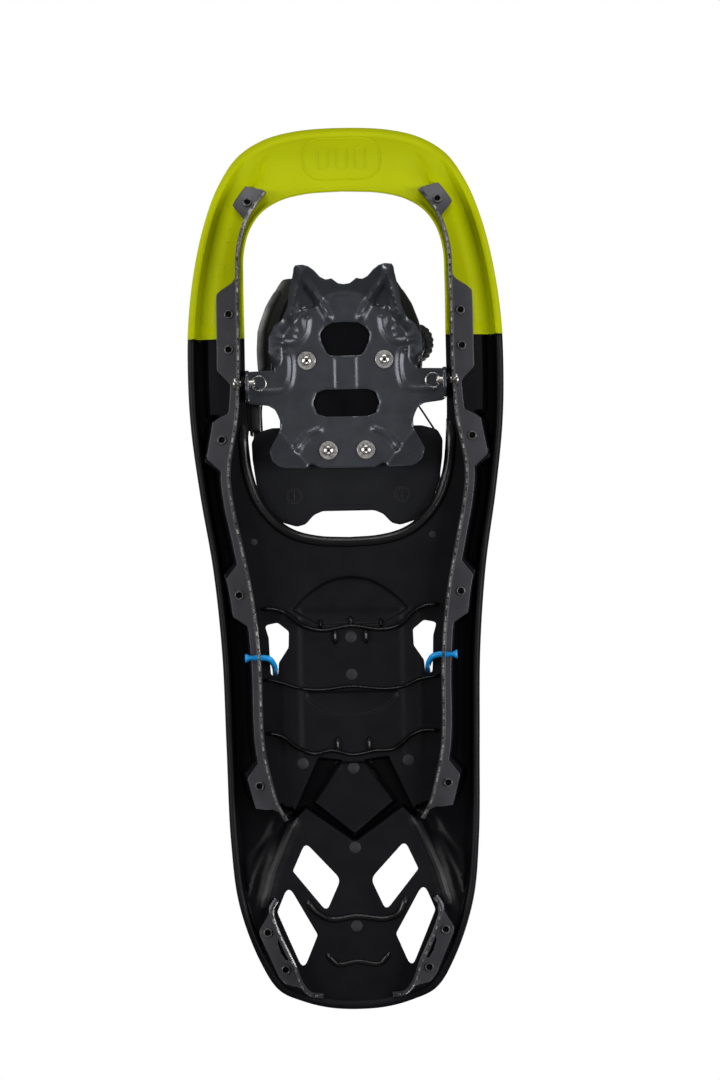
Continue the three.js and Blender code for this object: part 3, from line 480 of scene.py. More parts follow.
def plan_shell(plan, under, top, mark=0):
    """A closed sheet over a plan, between two height functions."""
    points, tris = plan
    count = len(points)
    marks = np.broadcast_to(mark, len(tris)).tolist()
    low = np.column_stack([points, under])
    high = np.column_stack([points, top])
    faces = [tuple(t[::-1]) for t in tris] + [tuple(t + count) for t in tris]
    seen = {}
    for t in tris:
        for i in range(3):
            edge = (int(t[i]), int(t[(i + 1) % 3]))
            seen[edge] = True
    marks = marks + marks
    for a, b in seen:
        if (b, a) not in seen:
            faces.append((a, b, b + count, a + count))
            marks.append(marks[0] if np.isscalar(mark) else int(np.max(mark)))
    return Mesh().add(np.vstack([low, high]), faces, marks)


def plate_prism(outline, low, high, edge=0.5, mark=0):
    """A flat plate with rounded edges from its outline in the plane."""
    outline = np.asarray(outline, float)
    side = right_of(outline, closed=True)
    area = 0.5 * np.sum(
        outline[:, 0] * np.roll(outline[:, 1], -1) - outline[:, 1] * np.roll(outline[:, 0], -1)
    )
    inward = -side if area > 0 else side
    rings = []
    for inset, z in [(edge, low), (0.3 * edge, low + 0.3 * edge), (0, low + edge),
                     (0, high - edge), (0.3 * edge, high - 0.3 * edge), (edge, high)]:
        rings.append(np.column_stack([outline + inward * inset, np.full(len(outline), z)]))
    return loft(rings, mark=mark)


# ---------------------------------------------------------------- materials


def new_material(name):
    material = bpy.data.materials.new(name)
    material.use_nodes = True
    nodes = material.node_tree.nodes
    return material, nodes, material.node_tree.links, nodes["Principled BSDF"]


def noise_node(nodes, links, scale, detail=3.0, stretch=(1, 1, 1)):
    place = nodes.new("ShaderNodeTexCoord")
    mapping = nodes.new("ShaderNodeMapping")
    mapping.inputs["Scale"].default_value = stretch
    links.new(place.outputs["Object"], mapping.inputs["Vector"])
    noise = nodes.new("ShaderNodeTexNoise")
    noise.inputs["Scale"].default_value = scale
    noise.inputs["Detail"].default_value = detail
    links.new(mapping.outputs["Vector"], noise.inputs["Vector"])
    return noise


def ramp_node(nodes, links, source, stops):
    ramp = nodes.new("ShaderNodeValToRGB")
    ramp.color_ramp.elements[0].position = stops[0][0]
    ramp.color_ramp.elements[0].color = (*stops[0][1], 1)
    ramp.color_ramp.elements[1].position = stops[-1][0]
    ramp.color_ramp.elements[1].color = (*stops[-1][1], 1)
    for position, colour in stops[1:-1]:
        element = ramp.color_ramp.elements.new(position)
        element.color = (*colour, 1)
    links.new(source, ramp.inputs["Fac"])
    return ramp


def bump_from(nodes, links, source, depth, shader, previous=None):
    bump = nodes.new("ShaderNodeBump")
    bump.inputs["Distance"].default_value = depth
    bump.inputs["Strength"].default_value = 1.0
    links.new(source, bump.inputs["Height"])
    if previous is not None:
        links.new(previous.outputs["Normal"], bump.inputs["Normal"])
    links.new(bump.outputs["Normal"], shader.inputs["Normal"])
    return bump


def map_range(nodes, links, source, low, high, to_low, to_high):
    node = nodes.new("ShaderNodeMapRange")
    node.inputs["From Min"].default_value = low
    node.inputs["From Max"].default_value = high
    node.inputs["To Min"].default_value = to_low
    node.inputs["To Max"].default_value = to_high
    links.new(source, node.inputs["Value"])
    return node


def moulded_plastic(name, dark, light, rough, grain=900.0, grain_depth=0.00006, specular=0.5, coat=0.0):
    """Injection-moulded plastic: faint flow marks in its colour, a fine spark-eroded grain."""
    material, nodes, links, shader = new_material(name)
    flow = noise_node(nodes, links, 26.0, 4.0)
    ramp = ramp_node(nodes, links, flow.outputs["Fac"], [(0.3, dark), (0.7, light)])
    links.new(ramp.outputs["Color"], shader.inputs["Base Color"])
    patch = noise_node(nodes, links, 60.0, 2.0)
    spread = map_range(nodes, links, patch.outputs["Fac"], 0.3, 0.7, rough[0], rough[1])
    links.new(spread.outputs["Result"], shader.inputs["Roughness"])
    fine = noise_node(nodes, links, grain, 2.0)
    bump_from(nodes, links, fine.outputs["Fac"], grain_depth, shader)
    shader.inputs["Specular IOR Level"].default_value = specular
    shader.inputs["Coat Weight"].default_value = coat
    return material


def coated_steel(name, coat_dark, coat_light, bare, rough, wear=(0.53, 0.58), metallic=0.55, lacquer=0.0):
    """Powder-coated sheet steel: a fine orange-peel coat, rubbed to bare metal on its edges."""
    material, nodes, links, shader = new_material(name)
    cloud = noise_node(nodes, links, 45.0, 5.0)
    coat = ramp_node(nodes, links, cloud.outputs["Fac"], [(0.3, coat_dark), (0.7, coat_light)])
    geometry = nodes.new("ShaderNodeNewGeometry")
    chips = noise_node(nodes, links, 420.0, 4.0)
    jitter = map_range(nodes, links, chips.outputs["Fac"], 0.3, 0.7, -0.03, 0.03)
    edge = nodes.new("ShaderNodeMath")
    edge.operation = "ADD"
    links.new(geometry.outputs["Pointiness"], edge.inputs[0])
    links.new(jitter.outputs["Result"], edge.inputs[1])
    worn = map_range(nodes, links, edge.outputs[0], wear[0], wear[1], 0.0, 1.0)
    mix = nodes.new("ShaderNodeMix")
    mix.data_type = "RGBA"
    mix.inputs["B"].default_value = (*bare, 1)
    links.new(worn.outputs["Result"], mix.inputs["Factor"])
    links.new(coat.outputs["Color"], mix.inputs["A"])
    links.new(mix.outputs["Result"], shader.inputs["Base Color"])
    patch = noise_node(nodes, links, 110.0, 3.0)
    spread = map_range(nodes, links, patch.outputs["Fac"], 0.3, 0.7, rough[0], rough[1])
    links.new(spread.outputs["Result"], shader.inputs["Roughness"])
    peel = noise_node(nodes, links, 700.0, 2.0)
    bump_from(nodes, links, peel.outputs["Fac"], 0.00005, shader)
    shader.inputs["Metallic"].default_value = metallic
    shader.inputs["Coat Weight"].default_value = lacquer
    shader.inputs["Coat Roughness"].default_value = 0.14
    return material


def scuffed_edge(name, coat, bare, band):
    """A cut steel edge whose coat has worn off in uneven patches."""
    material, nodes, links, shader = new_material(name)
    patches = noise_node(nodes, links, 135.0, 6.0)
    worn = map_range(nodes, links, patches.outputs["Fac"], band[0], band[1], 0.0, 1.0)
    tone = ramp_node(nodes, links, worn.outputs["Result"], [(0.0, coat), (1.0, bare)])
    links.new(tone.outputs["Color"], shader.inputs["Base Color"])
    shine = map_range(nodes, links, worn.outputs["Result"], 0.0, 1.0, 0.55, 0.42)
    links.new(shine.outputs["Result"], shader.inputs["Roughness"])
    bump_from(nodes, links, patches.outputs["Fac"], 0.00012, shader)
    shader.inputs["Metallic"].default_value = 0.3
    return material


def bright_metal(name, dark, light, rough, scratch=(1, 1, 1), scale=900.0):
    """Plated or worn metal with fine scratches."""
    material, nodes, links, shader = new_material(name)
    cloud = noise_node(nodes, links, 300.0, 4.0)
    tone = ramp_node(nodes, links, cloud.outputs["Fac"], [(0.3, dark), (0.7, light)])
    links.new(tone.outputs["Color"], shader.inputs["Base Color"])
    lines = noise_node(nodes, links, scale, 3.0, scratch)
    spread = map_range(nodes, links, lines.outputs["Fac"], 0.3, 0.7, rough[0], rough[1])
    links.new(spread.outputs["Result"], shader.inputs["Roughness"])
    bump_from(nodes, links, lines.outputs["Fac"], 0.00003, shader)
    shader.inputs["Metallic"].default_value = 1.0
    return material


def knit_fabric(name, dark, light):
    """A knitted cover: rows of small loops, matt with a soft sheen."""
    material, nodes, links, shader = new_material(name)
    place = nodes.new("ShaderNodeTexCoord")
    waves = []
    for direction, scale in [("X", 420.0), ("Y", 420.0), ("Z", 420.0)]:
        wave = nodes.new("ShaderNodeTexWave")
        wave.bands_direction = direction
        wave.inputs["Scale"].default_value = scale
        wave.inputs["Distortion"].default_value = 1.2
        links.new(place.outputs["Object"], wave.inputs["Vector"])
        waves.append(wave)
    total = nodes.new("ShaderNodeMath")
    total.operation = "ADD"
    links.new(waves[0].outputs["Fac"], total.inputs[0])
    links.new(waves[1].outputs["Fac"], total.inputs[1])
    weave = nodes.new("ShaderNodeMath")
    weave.operation = "ADD"
    links.new(total.outputs[0], weave.inputs[0])
    links.new(waves[2].outputs["Fac"], weave.inputs[1])
    tone = ramp_node(nodes, links, weave.outputs[0], [(0.2, dark), (0.9, light)])
    links.new(tone.outputs["Color"], shader.inputs["Base Color"])
    bump_from(nodes, links, weave.outputs[0], 0.0002, shader)
    shader.inputs["Roughness"].default_value = 0.92
    shader.inputs["Sheen Weight"].default_value = 0.25
    return material


LIME = moulded_plastic(
    "lime_shell", (0.418, 0.468, 0.0002), (0.448, 0.502, 0.0003), (0.4, 0.5), 900.0, 0.00003, 0.05
)
BLACK = moulded_plastic(
    "black_deck", (0.0028, 0.0028, 0.0040), (0.0044, 0.0044, 0.0060), (0.42, 0.54), 900.0, 0.00006, 0.16
)
# Darker polished black. In the edge channel it is partly a real polished finish and partly painted shade.
# On the wedges, and on the binding base lying in shadow behind the crampon's slots, the darker colour is
# painted shade.
POLISH_AND_SHADE_BLACK = moulded_plastic(
    "black_polished_and_painted_shade", (0.0020, 0.0020, 0.0028), (0.0032, 0.0032, 0.0042), (0.3, 0.4), 1500.0, 0.00001, 0.1
)
RIB = moulded_plastic(
    "black_rib", (0.0018, 0.0018, 0.0024), (0.0028, 0.0028, 0.0036), (0.26, 0.34), 1500.0, 0.00001, 0.5
)
# Lighter, shinier black for a strip along the tail's shoulder ridge: a painted highlight on plastic that is
# the same as the deck's.
SHOULDER_PAINTED_HIGHLIGHT = moulded_plastic(
    "black_painted_highlight", (0.0040, 0.0040, 0.0050), (0.0060, 0.0060, 0.0072), (0.42, 0.50), 900.0, 0.00004, 0.42
)
BLACK_PLUG = moulded_plastic(
    "black_plug", (0.016, 0.016, 0.0185), (0.025, 0.025, 0.028), (0.55, 0.7), 500.0, 0.0002, 0.3
)
BINDING = moulded_plastic(
    "black_binding", (0.0072, 0.0075, 0.0095), (0.0100, 0.0104, 0.0128), (0.40, 0.52), 900.0, 0.00006,
    0.16
)
TRIM = moulded_plastic(
    "black_trim", (0.004, 0.004, 0.0052), (0.0065, 0.0065, 0.008), (0.28, 0.4), 900.0, 0.00004, 0.35
)
RUBBER = moulded_plastic(
    "black_rubber", (0.008, 0.0082, 0.0078), (0.014, 0.0145, 0.0135), (0.5, 0.7), 350.0, 0.00018, 0.3
)
STRAP = moulded_plastic(
    "lime_strap", (0.34, 0.42, 0.004), (0.40, 0.48, 0.006), (0.42, 0.55), 600.0, 0.00008, 0.3
)
RAIL = coated_steel(
    "rail_coat", (0.058, 0.057, 0.066), (0.074, 0.073, 0.083), (0.20, 0.19, 0.18), (0.34, 0.46),
    (0.57, 0.66), 0.3
)
PLATE = coated_steel(
    "crampon_coat", (0.058, 0.061, 0.073), (0.072, 0.075, 0.088), (0.16, 0.16, 0.17), (0.26, 0.36),
    (0.59, 0.70), 0.55, 0.16
)
BLADE = scuffed_edge("blade_edge", (0.040, 0.038, 0.040), (0.23, 0.22, 0.21), (0.40, 0.62))
WORN = scuffed_edge("worn_tip", (0.06, 0.057, 0.056), (0.42, 0.40, 0.375), (0.42, 0.62))
WASHER = coated_steel(
    "washer_zinc", (0.080, 0.075, 0.076), (0.112, 0.106, 0.106), (0.5, 0.48, 0.46), (0.25, 0.36),
    (0.51, 0.56), 0.5
)
PLATED = bright_metal("plated_steel", (0.46, 0.44, 0.42), (0.66, 0.63, 0.60), (0.2, 0.32))
RIVET = coated_steel(
    "rivet_dark", (0.036, 0.036, 0.040), (0.052, 0.052, 0.058), (0.22, 0.21, 0.2), (0.25, 0.4),
    (0.53, 0.60), 0.3
)
# Near-black for thin discs in the rivets' bores and the screws' sockets: painted shade standing in for the
# dark inside of each recess.
HOLLOW_PAINTED_SHADE = moulded_plastic(
    "rivet_hollow_painted_shade", (0.0006, 0.0006, 0.0006), (0.0012, 0.0012, 0.0012), (0.6, 0.8), specular=0.1
)
BLUE = moulded_plastic(
    "blue_coat", (0.002, 0.30, 0.80), (0.004, 0.36, 0.9), (0.28, 0.4), 500.0, 0.00005, 0.4
)
KNIT = knit_fabric("liner_knit", (0.006, 0.006, 0.007), (0.022, 0.022, 0.024))
CABLE = bright_metal("lace_cable", (0.05, 0.05, 0.05), (0.14, 0.14, 0.14), (0.3, 0.5), (1, 1, 4), 2500.0)

# ---------------------------------------------------------------- deck

OUTLINE = spaced(curve_through(both_halves(OUTLINE_HALF), closed=True), 2.6, closed=True)
OPENING_HALF = curve_through(TOE_OPENING_HALF)
OPENING = spaced(
    np.vstack([OPENING_HALF, (OPENING_HALF * (-1, 1))[::-1][1:-1]]), 2.2, closed=True
)
RAIL_CURVE = curve_through(RAIL_LINE)


def outline_half_width(y):
    """Half the deck's width at a place along Y."""
    right = OUTLINE[OUTLINE[:, 0] > 0]
    order = np.argsort(right[:, 1])
    return np.interp(y, right[order, 1], right[order, 0])


def rail_x(y):
    """Where a side rail's blade runs, as a distance from the middle."""
    return np.interp(y, RAIL_CURVE[::-1, 1], RAIL_CURVE[::-1, 0])


def tab_width(y):
    """Width of a side rail's flange outboard of its blade."""
    y = np.asarray(y, float)
    plain = RAIL_FLANGE - (RAIL_FLANGE - NOSE_FLANGE) * smooth(186, 200, y)
    width = plain
    for low, high, ramp, extra in RAIL_TABS:
        outside = np.maximum(low - y, y - high)
        width = np.maximum(width, plain + extra * np.clip(1 - outside / ramp, 0, 1))
    return width * smooth(-169, -163, y)


def clipped_loop(above):
    """The deck's plan on one side of the seam: round the outline, back along the toe opening."""
    seam = SEAM_Y - SEAM_LAP if above else SEAM_Y + SEAM_LAP
    sign = 1 if above else -1
    x_out = float(outline_half_width(seam))
    x_in = float(np.interp(seam, OPENING_HALF[::-1, 1], OPENING_HALF[::-1, 0]))
    rim = OUTLINE[(OUTLINE[:, 1] - seam) * sign > 1.0]
    edge = OPENING[(OPENING[:, 1] - seam) * sign > 1.0]

    def swept(points, start_x):
        angle = np.arctan2(points[:, 0] * sign, (points[:, 1] - seam) * sign)
        ordered = points[np.argsort(angle)]
        return ordered if ordered[0, 0] * start_x > 0 else ordered[::-1]

    rim = swept(rim, -1)
    edge = swept(edge, 1)
    across_right = np.column_stack([np.linspace(x_out, x_in, 14), np.full(14, seam)])
    across_left = np.column_stack([np.linspace(-x_in, -x_out, 14), np.full(14, seam)])
    return np.vstack([rim, across_right, edge, across_left])


DIAMOND = [(-8, -137), (8, -137), (27.5, -164), (0, -186.5), (-27.5, -164)]
WEDGE = [(24, -133.5), (8.5, -135.5), (28, -164), (0, -187), (0, -191.5), (33.5, -167.5), (44.5, -178)]
RECESS_EDGE = curve_through([(31, -91), (27, -95.5), (15.4, -101.8), (0, -104.3)], per=6)
RECESS_UNDER_RIB = np.vstack([RECESS_EDGE, (RECESS_EDGE * (-1, 1))[::-1][1:], [(-31, -88), (31, -88)]])
ARCH_TOP = curve_through([(40, -31), (33, -23.5), (24, -16.5), (13, -10.7), (0, -8.5)], per=6)
ARCH = np.vstack([ARCH_TOP, (ARCH_TOP * (-1, 1))[::-1][1:], [(-22, -41), (22, -41)]])
SHOULDER = [(39, -172), (47.3, -190), (56.7, -213), (61.8, -232), (66, -262), (60, -300)]


def shoulder_x(y):
    """Where the tail's shoulder ridge runs, as a distance from the middle."""
    line = np.array(SHOULDER[::-1], float)
    return np.interp(y, line[:, 1], line[:, 0])


def channel_inner_x(y):
    """Where the deck's edge channel meets its flat web, as a distance from the middle."""
    front = outline_half_width(y) - 14.5
    middle = rail_x(np.clip(y, -165, 262)) + tab_width(y) + 1.2
    back = shoulder_x(y)
    inner = np.where(y > 104, front, middle)
    blend = smooth(-160, -172, y)
    return np.where(y < -160, middle * (1 - blend) + back * blend, inner)


def edge_profile(points, inset):
    """Height of the rear deck's rim and edge channel over the plain skin, seen from below."""
    x, y = np.abs(points[:, 0]), points[:, 1]
    past = x - channel_inner_x(y)
    run = 4.0 + 26.0 * smooth(-165, -215, y)
    depth = CHANNEL_DEPTH * (1 - 0.75 * smooth(-185, -262, y)) * (1 - smooth(-275, -292, y))
    channel = depth * smooth(0.0, run, past)
    tail_end = smooth(-250, -288, y)
    ridge = smooth(-172, -182, y) * (1 - smooth(-228, -242, y))
    channel = channel - 3.0 * ridge * np.exp(-(((past - 1.0) / 3.0) ** 2))
    channel = channel - 1.6 * ridge * np.exp(-(((past - 13.0) / 2.6) ** 2))
    rim = -RIM_DROP * (1 - 0.7 * tail_end) + (2.3 - tail_end) * ((inset - 2.7) / 2.7) ** 2
    wall = smooth(RIM_WIDTH - 0.6, RIM_WIDTH + 1.2, inset)
    return np.where(inset < RIM_WIDTH + 1.2, rim * (1 - wall) + channel * wall, channel)


def panel_relief(points):
    """The panels pressed into the middle of the rear deck, as height over its skin."""
    x, y = points[:, 0], points[:, 1]
    ax = np.abs(x)
    relief = 3.0 * smooth(-1.0, 1.0, signed_distance(points, DIAMOND))
    for side in SIDES.values():
        wedge = np.array(WEDGE) * (side, 1)
        relief = np.maximum(relief, 8.5 * smooth(-0.9, 1.4, signed_distance(points, wedge)))
    relief += 2.6 * smooth(-1.2, 1.2, signed_distance(points, ARCH))
    relief += 1.6 * smooth(-1.0, 1.0, signed_distance(points, RECESS_UNDER_RIB))
    middle = smooth(-134, -131, y) * smooth(-30, -33, y)
    relief += 0.9 * middle * smooth(36.0, 34.6, ax) * smooth(-2, 2, 40 - ax)
    relief += 0.8 * middle * smooth(46.0, 48.5, ax)
    relief += 0.9 * smooth(-176, -200, y) * smooth(-300, -270, y) * smooth(34, 0, ax)
    return relief


def rear_under(points):
    """Height of the rear deck's underside."""
    inset = distance_to(points, OUTLINE, closed=True)
    lift = edge_profile(points, inset)
    relief = panel_relief(points) * smooth(RIM_WIDTH + 2, RIM_WIDTH + 8, inset)
    return deck_under(points[:, 1]) + lift + np.where(points[:, 1] < 5, relief, 0)


def rear_top(points):
    """Height of the rear deck's top."""
    inset = distance_to(points, OUTLINE, closed=True)
    lift = edge_profile(points, np.maximum(inset, RIM_WIDTH + 2))
    relief = panel_relief(points)
    top = deck_under(points[:, 1]) + DECK_SKIN + lift + np.where(points[:, 1] < 5, relief, 0)
    shoulder = 1 - smooth(0, 2.4, inset)
    rim_top = CHANNEL_DEPTH * (1 - 0.6 * smooth(-185, -262, points[:, 1])) + DECK_SKIN - 0.4
    rim = deck_under(points[:, 1]) + rim_top - 3.0 * shoulder**2
    near = 1 - smooth(RIM_WIDTH, RIM_WIDTH + 5.5, inset)
    return np.maximum(top, rim * near + top * (1 - near))


def rows_inside(loop, insets, closed=True, turn=1):
    """Lines of points at set distances inside a loop."""
    side = right_of(loop, closed) * turn
    return [loop + side * inset for inset in insets]


def feature_rows(polygon, offsets=(-1.5, -0.75, 0, 0.75, 1.5), step=1.5):
    """Lines of points along a pressed panel's edge and just to each side of it."""
    line = spaced(np.asarray(polygon, float), step, closed=True)
    side = right_of(line, closed=True)
    return [line + side * off for off in offsets]


def deck_holes():
    """The tail's four holes and the two openings for the heel lift."""
    holes = []
    for side in SIDES.values():
        for corners, radius in [
            (UPPER_TAIL_HOLE, (3.2, 1.6, 2.8, 7)), (LOWER_TAIL_HOLE, (3.6, 4.5, 3.2, 3)),
            (BAIL_OPENING, 2.2),
        ]:
            loop = rounded(np.array(corners) * (side, 1), radius)
            holes.append(spaced(loop, 1.6, closed=True))
    return holes


def edge_rows():
    """Lines of points that carry the rear deck's rim and edge channel."""
    rows = rows_inside(OUTLINE, (0.5, 1.2, 2.0, 2.9, 3.9, 4.8, 5.4, 6.0, 6.7, 8.4))
    for side in SIDES.values():
        y = np.arange(-300, 158, 1.8)
        for off in (0.0, 1.3, 2.6, 4.0):
            rows.append(np.column_stack([side * (channel_inner_x(y) + off), y]))
    y = np.arange(-300, 158, 2.0)
    for side in SIDES.values():
        rows.append(np.column_stack([side * (channel_inner_x(y) - 1.2), y]))
    return rows


RIB_1 = [
    (61.5, -29.5), (54, -29.5), (45, -32.5), (33, -41.5), (20, -45), (0, -42.2), (-21, -45), (-33, -42.5),
    (-44, -33), (-52, -29), (-61.5, -28.5)
]
RIB_2 = [
    (61, -78.8), (56, -79), (48, -81), (36, -84.8), (22, -86.2), (0, -84.2), (-22, -86.2), (-35, -85),
    (-47, -80), (-61, -77.8)
]
RIB_3 = [
    (60, -115.8), (55, -116.2), (48, -118.5), (39, -125.5), (27, -130.3), (15, -128.3), (0, -131.5),
    (-15, -129), (-28, -128), (-40, -119), (-49, -115.5), (-60, -116)
]
TAIL_RIB_1 = [
    (34, -231), (31, -236.5), (26.5, -241), (17, -245.5), (0, -243.7), (-21, -245.5), (-30, -241),
    (-33, -235), (-35, -231)
]
TAIL_RIB_2 = [
    (21, -269), (17.5, -273.5), (13, -277), (0, -275.2), (-15, -277), (-19.5, -273), (-22.5, -269)
]
STUBS = [((21, -37.5), (21, -43.5)), ((0, -35.5), (0, -41.5)), ((-21, -37.5), (-21, -43.5)),
         ((11, -44), (11, -55)), ((-10.5, -44), (-10.5, -55)), ((10.6, -119), (10.6, -130)),
         ((-11.3, -119), (-11.3, -130))]
PLUGS = [(0, -50), (0, -76), (35, -137), (0, -141), (-38, -136), (0, -196), (0, -250.5)]
MARKS = [(66, 17), (-58, 20)]


def rounded_beam(path, under, half_width, drop, mark=0, step=1.6, end_fade=3.0):
    """A moulded rib: a wall with a rounded foot standing down from the deck along a path."""
    line = spaced(curve_through(path), step)
    side = right_of(line)
    level = under(line)
    section = [
        (-1.0, 2.2), (-1.0, 0.4), (-0.8, -0.55), (-0.35, -0.92), (0, -1.0), (0.35, -0.92), (0.8, -0.55),
        (1.0, 0.4), (1.0, 2.2)
    ]
    end = np.minimum(np.arange(len(line)), np.arange(len(line))[::-1]) * step
    fade = np.sqrt(np.clip(end / end_fade, 0.02, 1))
    rings = []
    for i, point in enumerate(line):
        ring = []
        for across, down in section:
            xy = point + side[i] * across * half_width * (0.4 + 0.6 * fade[i])
            z = level[i] + (down * drop * fade[i] if down < 0 else down * 0.8)
            ring.append((xy[0], xy[1], z))
        rings.append(ring)
    return loft(rings, mark=mark)


def plug_disc(place, under, radius=4.0, mark=1):
    """The round mark of an ejector pin, a little proud of the deck."""
    x, y = place
    z = float(under(np.array([[x, y]], float))[0])
    profile = [(0, 0.6), (radius, 0.6), (radius, -0.15), (radius - 0.35, -0.4), (0, -0.4)]
    return turned(profile, (x, y, z), sides=28, mark=mark)


def opening_lip(mesh):
    """The rolled lip round the back of the toe opening."""
    back = curve_through(TOE_OPENING_HALF[9:])
    line = spaced(np.vstack([back, (back * (-1, 1))[::-1][1:]]), 2.0)
    out = -right_of(line)
    section = [
        (-0.4, 4.0), (-0.35, 1.0), (0.3, -1.1), (1.7, -2.5), (3.4, -2.9), (5.2, -2.3), (6.5, -0.8),
        (7.0, 0.9), (7.0, 2.4), (5.2, 6.2), (3.4, 7.5), (1.6, 7.4), (0.2, 6.2)
    ]
    rings = []
    for i, point in enumerate(line):
        end = min(i, len(line) - 1 - i) * 2.0
        fade = math.sqrt(min(1.0, max(0.03, end / 12.0)))
        ring = []
        for across, rise in section:
            xy = point + out[i] * (across if across < 0.4 else across * (0.55 + 0.45 * fade))
            middle = 1.6
            ring.append((xy[0], xy[1], DECK_UNDER + middle + (rise - middle) * fade))
        rings.append(ring)
    mesh.join(loft(rings, mark=3))


def polished_parts(points):
    """Material numbers: the flat web grained; the edge channel and its walls polished and darker, in part
    as painted shade; the wedges darker as painted shade; a strip on the tail's shoulder ridge lighter and
    shinier as a painted highlight.
    """
    inset = distance_to(points, OUTLINE, closed=True)
    x, y = np.abs(points[:, 0]), points[:, 1]
    channel = (x - channel_inner_x(y) > 0.2) & (inset > RIM_WIDTH - 0.8) & (y > -292)
    # Inside the wedges the darker polished material is painted shade for the deep recess.
    wedge_painted_shade = signed_distance(np.column_stack([x, y]), WEDGE) > -0.6
    past = x - channel_inner_x(y)
    # Along the shoulder ridge a lighter, shinier material is a painted highlight.
    shoulder = (past > -1.2) & (past < 4.0) & (y < -174) & (y > -236)
    return np.where(shoulder, 4, np.where(channel | (wedge_painted_shade & (x > 1)), 2, 0))


def make_rear_deck():
    border = clipped_loop(above=False)
    features = edge_rows()
    for polygon in (DIAMOND, ARCH, RECESS_UNDER_RIB, WEDGE, mirrored(WEDGE)):
        features += feature_rows(polygon)
    pitch = 2.6
    plan = plan_mesh(border, deck_holes(), pitch, features)
    middles = plan[0][plan[1]].mean(axis=1)
    mesh = plan_shell(plan, rear_under(plan[0]), rear_top(plan[0]), polished_parts(middles))
    opening_lip(mesh)
    for path, width, drop in [
        (RIB_1, 1.7, 4.6), (RIB_2, 1.4, 4.0), (RIB_3, 1.6, 4.6), (TAIL_RIB_1, 2.4, 3.0),
        (TAIL_RIB_2, 2.0, 2.2)
    ]:
        mesh.join(rounded_beam(path, rear_under, width, drop, mark=3))
    for path in STUBS:
        mesh.join(rounded_beam(path, rear_under, 1.9, 3.6, mark=3))
    for side in SIDES.values():
        tongue_low = DECK_UNDER + DECK_SKIN + GAP
        corners = [(72.5, 150), (72.5, 196), (76, 200), (86, 200), (90, 196), (92.5, 150)]
        outline = rounded_loop(np.array(corners) * (side, 1), 3, 3)
        mesh.join(plate_prism(outline, tongue_low, tongue_low + 3, 0.8))
    for place in PLUGS:
        mesh.join(plug_disc(place, rear_under))
    for place in MARKS:
        mesh.join(plug_disc(place, rear_under, 2.4))
    # Material 2 darkens the channel and wedges as painted shade, in part a real polish; material 4 is a
    # painted highlight on the shoulder strip.
    return piece(
        "rear_deck_moulding", mesh, [BLACK, BLACK_PLUG, POLISH_AND_SHADE_BLACK, RIB, SHOULDER_PAINTED_HIGHLIGHT], "frame",
        ["rear_deck"], 42
    )


# ---------------------------------------------------------------- nose shell


GUSSET = [(52.5, 287), (61.5, 265)]


def nose_inset(points):
    """How far each point is inside the deck's outline."""
    return distance_to(points, OUTLINE, closed=True)


def nose_lift(points):
    """The nose shell's rim, valley and inner lip, as height over its skin."""
    y = points[:, 1]
    inset = nose_inset(points)
    forward = smooth(255, 292, y)
    rim = -RIM_DROP * (1 - 0.75 * forward) + 2.0 * ((inset - 3.2) / 3.2) ** 2
    valley_depth = 4.6 * (1 - forward)
    valley = valley_depth * (1 - smooth(8.5, 19.0, inset))
    wall = smooth(4.6, 9.0, inset)
    lift = np.where(inset < 9.0, rim * (1 - wall) + valley * wall, valley)
    lip = distance_to(points, OPENING, closed=True)
    lift -= 1.3 * (1 - smooth(1.4, 3.4, lip))
    lift += 1.0 * (1 - smooth(0.0, 1.1, lip)) ** 2
    for side in SIDES.values():
        along = np.clip((GUSSET[0][1] - y) / 16, 0, 1)
        away = distance_to(points, np.array(GUSSET) * (side, 1))
        lift -= 6.5 * along**0.7 * np.clip(1 - away / 4.2, 0, 1) ** 1.4
    ledge = smooth(164.6, 163.4, y)
    return lift - 1.5 * ledge


def nose_under(points):
    """Height of the nose shell's underside."""
    return deck_under(points[:, 1]) + nose_lift(points)


def nose_top(points):
    """Height of the nose shell's top."""
    y = points[:, 1]
    inset = nose_inset(points)
    thick = DECK_SKIN / np.cos(deck_slope(y))
    plain = deck_under(y) + thick + 4.6 * (1 - smooth(255, 292, y)) * (1 - smooth(8.5, 19.0, inset))
    rim_top = deck_under(y) + CHANNEL_DEPTH + DECK_SKIN - 1.0 - 2.6 * (1 - smooth(0, 2.6, inset)) ** 2
    near = 1 - smooth(4.0, 14.0, inset)
    return plain * (1 - near) + np.maximum(plain, rim_top) * near


def engraved_badge(mesh):
    """A plain badge on the nose: a rounded frame with three short bars, moulded as fine lines."""
    middle_y, half_width, half_height = 284.0, 27.0, 16.0
    frame_line = rounded(
        [
            (half_width, middle_y + half_height), (-half_width, middle_y + half_height),
            (-half_width, middle_y - half_height), (half_width, middle_y - half_height)
        ],
        half_height * 0.95, 14
    )
    loop = spaced(frame_line, 1.5, closed=True)
    centre = np.column_stack([loop, nose_under(loop) + 0.1])
    mesh.join(tube(centre, 0.6, 8, loop=True))
    for x in (-13.0, 0.0, 13.0):
        bar = rounded([(x - 3.6, middle_y + 8.5), (x - 3.6, middle_y - 8.5), (x + 3.6, middle_y - 8.5),
                       (x + 3.6, middle_y + 8.5)], 3.4, 8)
        loop = spaced(bar, 1.2, closed=True)
        centre = np.column_stack([loop, nose_under(loop) + 0.1])
        mesh.join(tube(centre, 0.5, 8, loop=True))


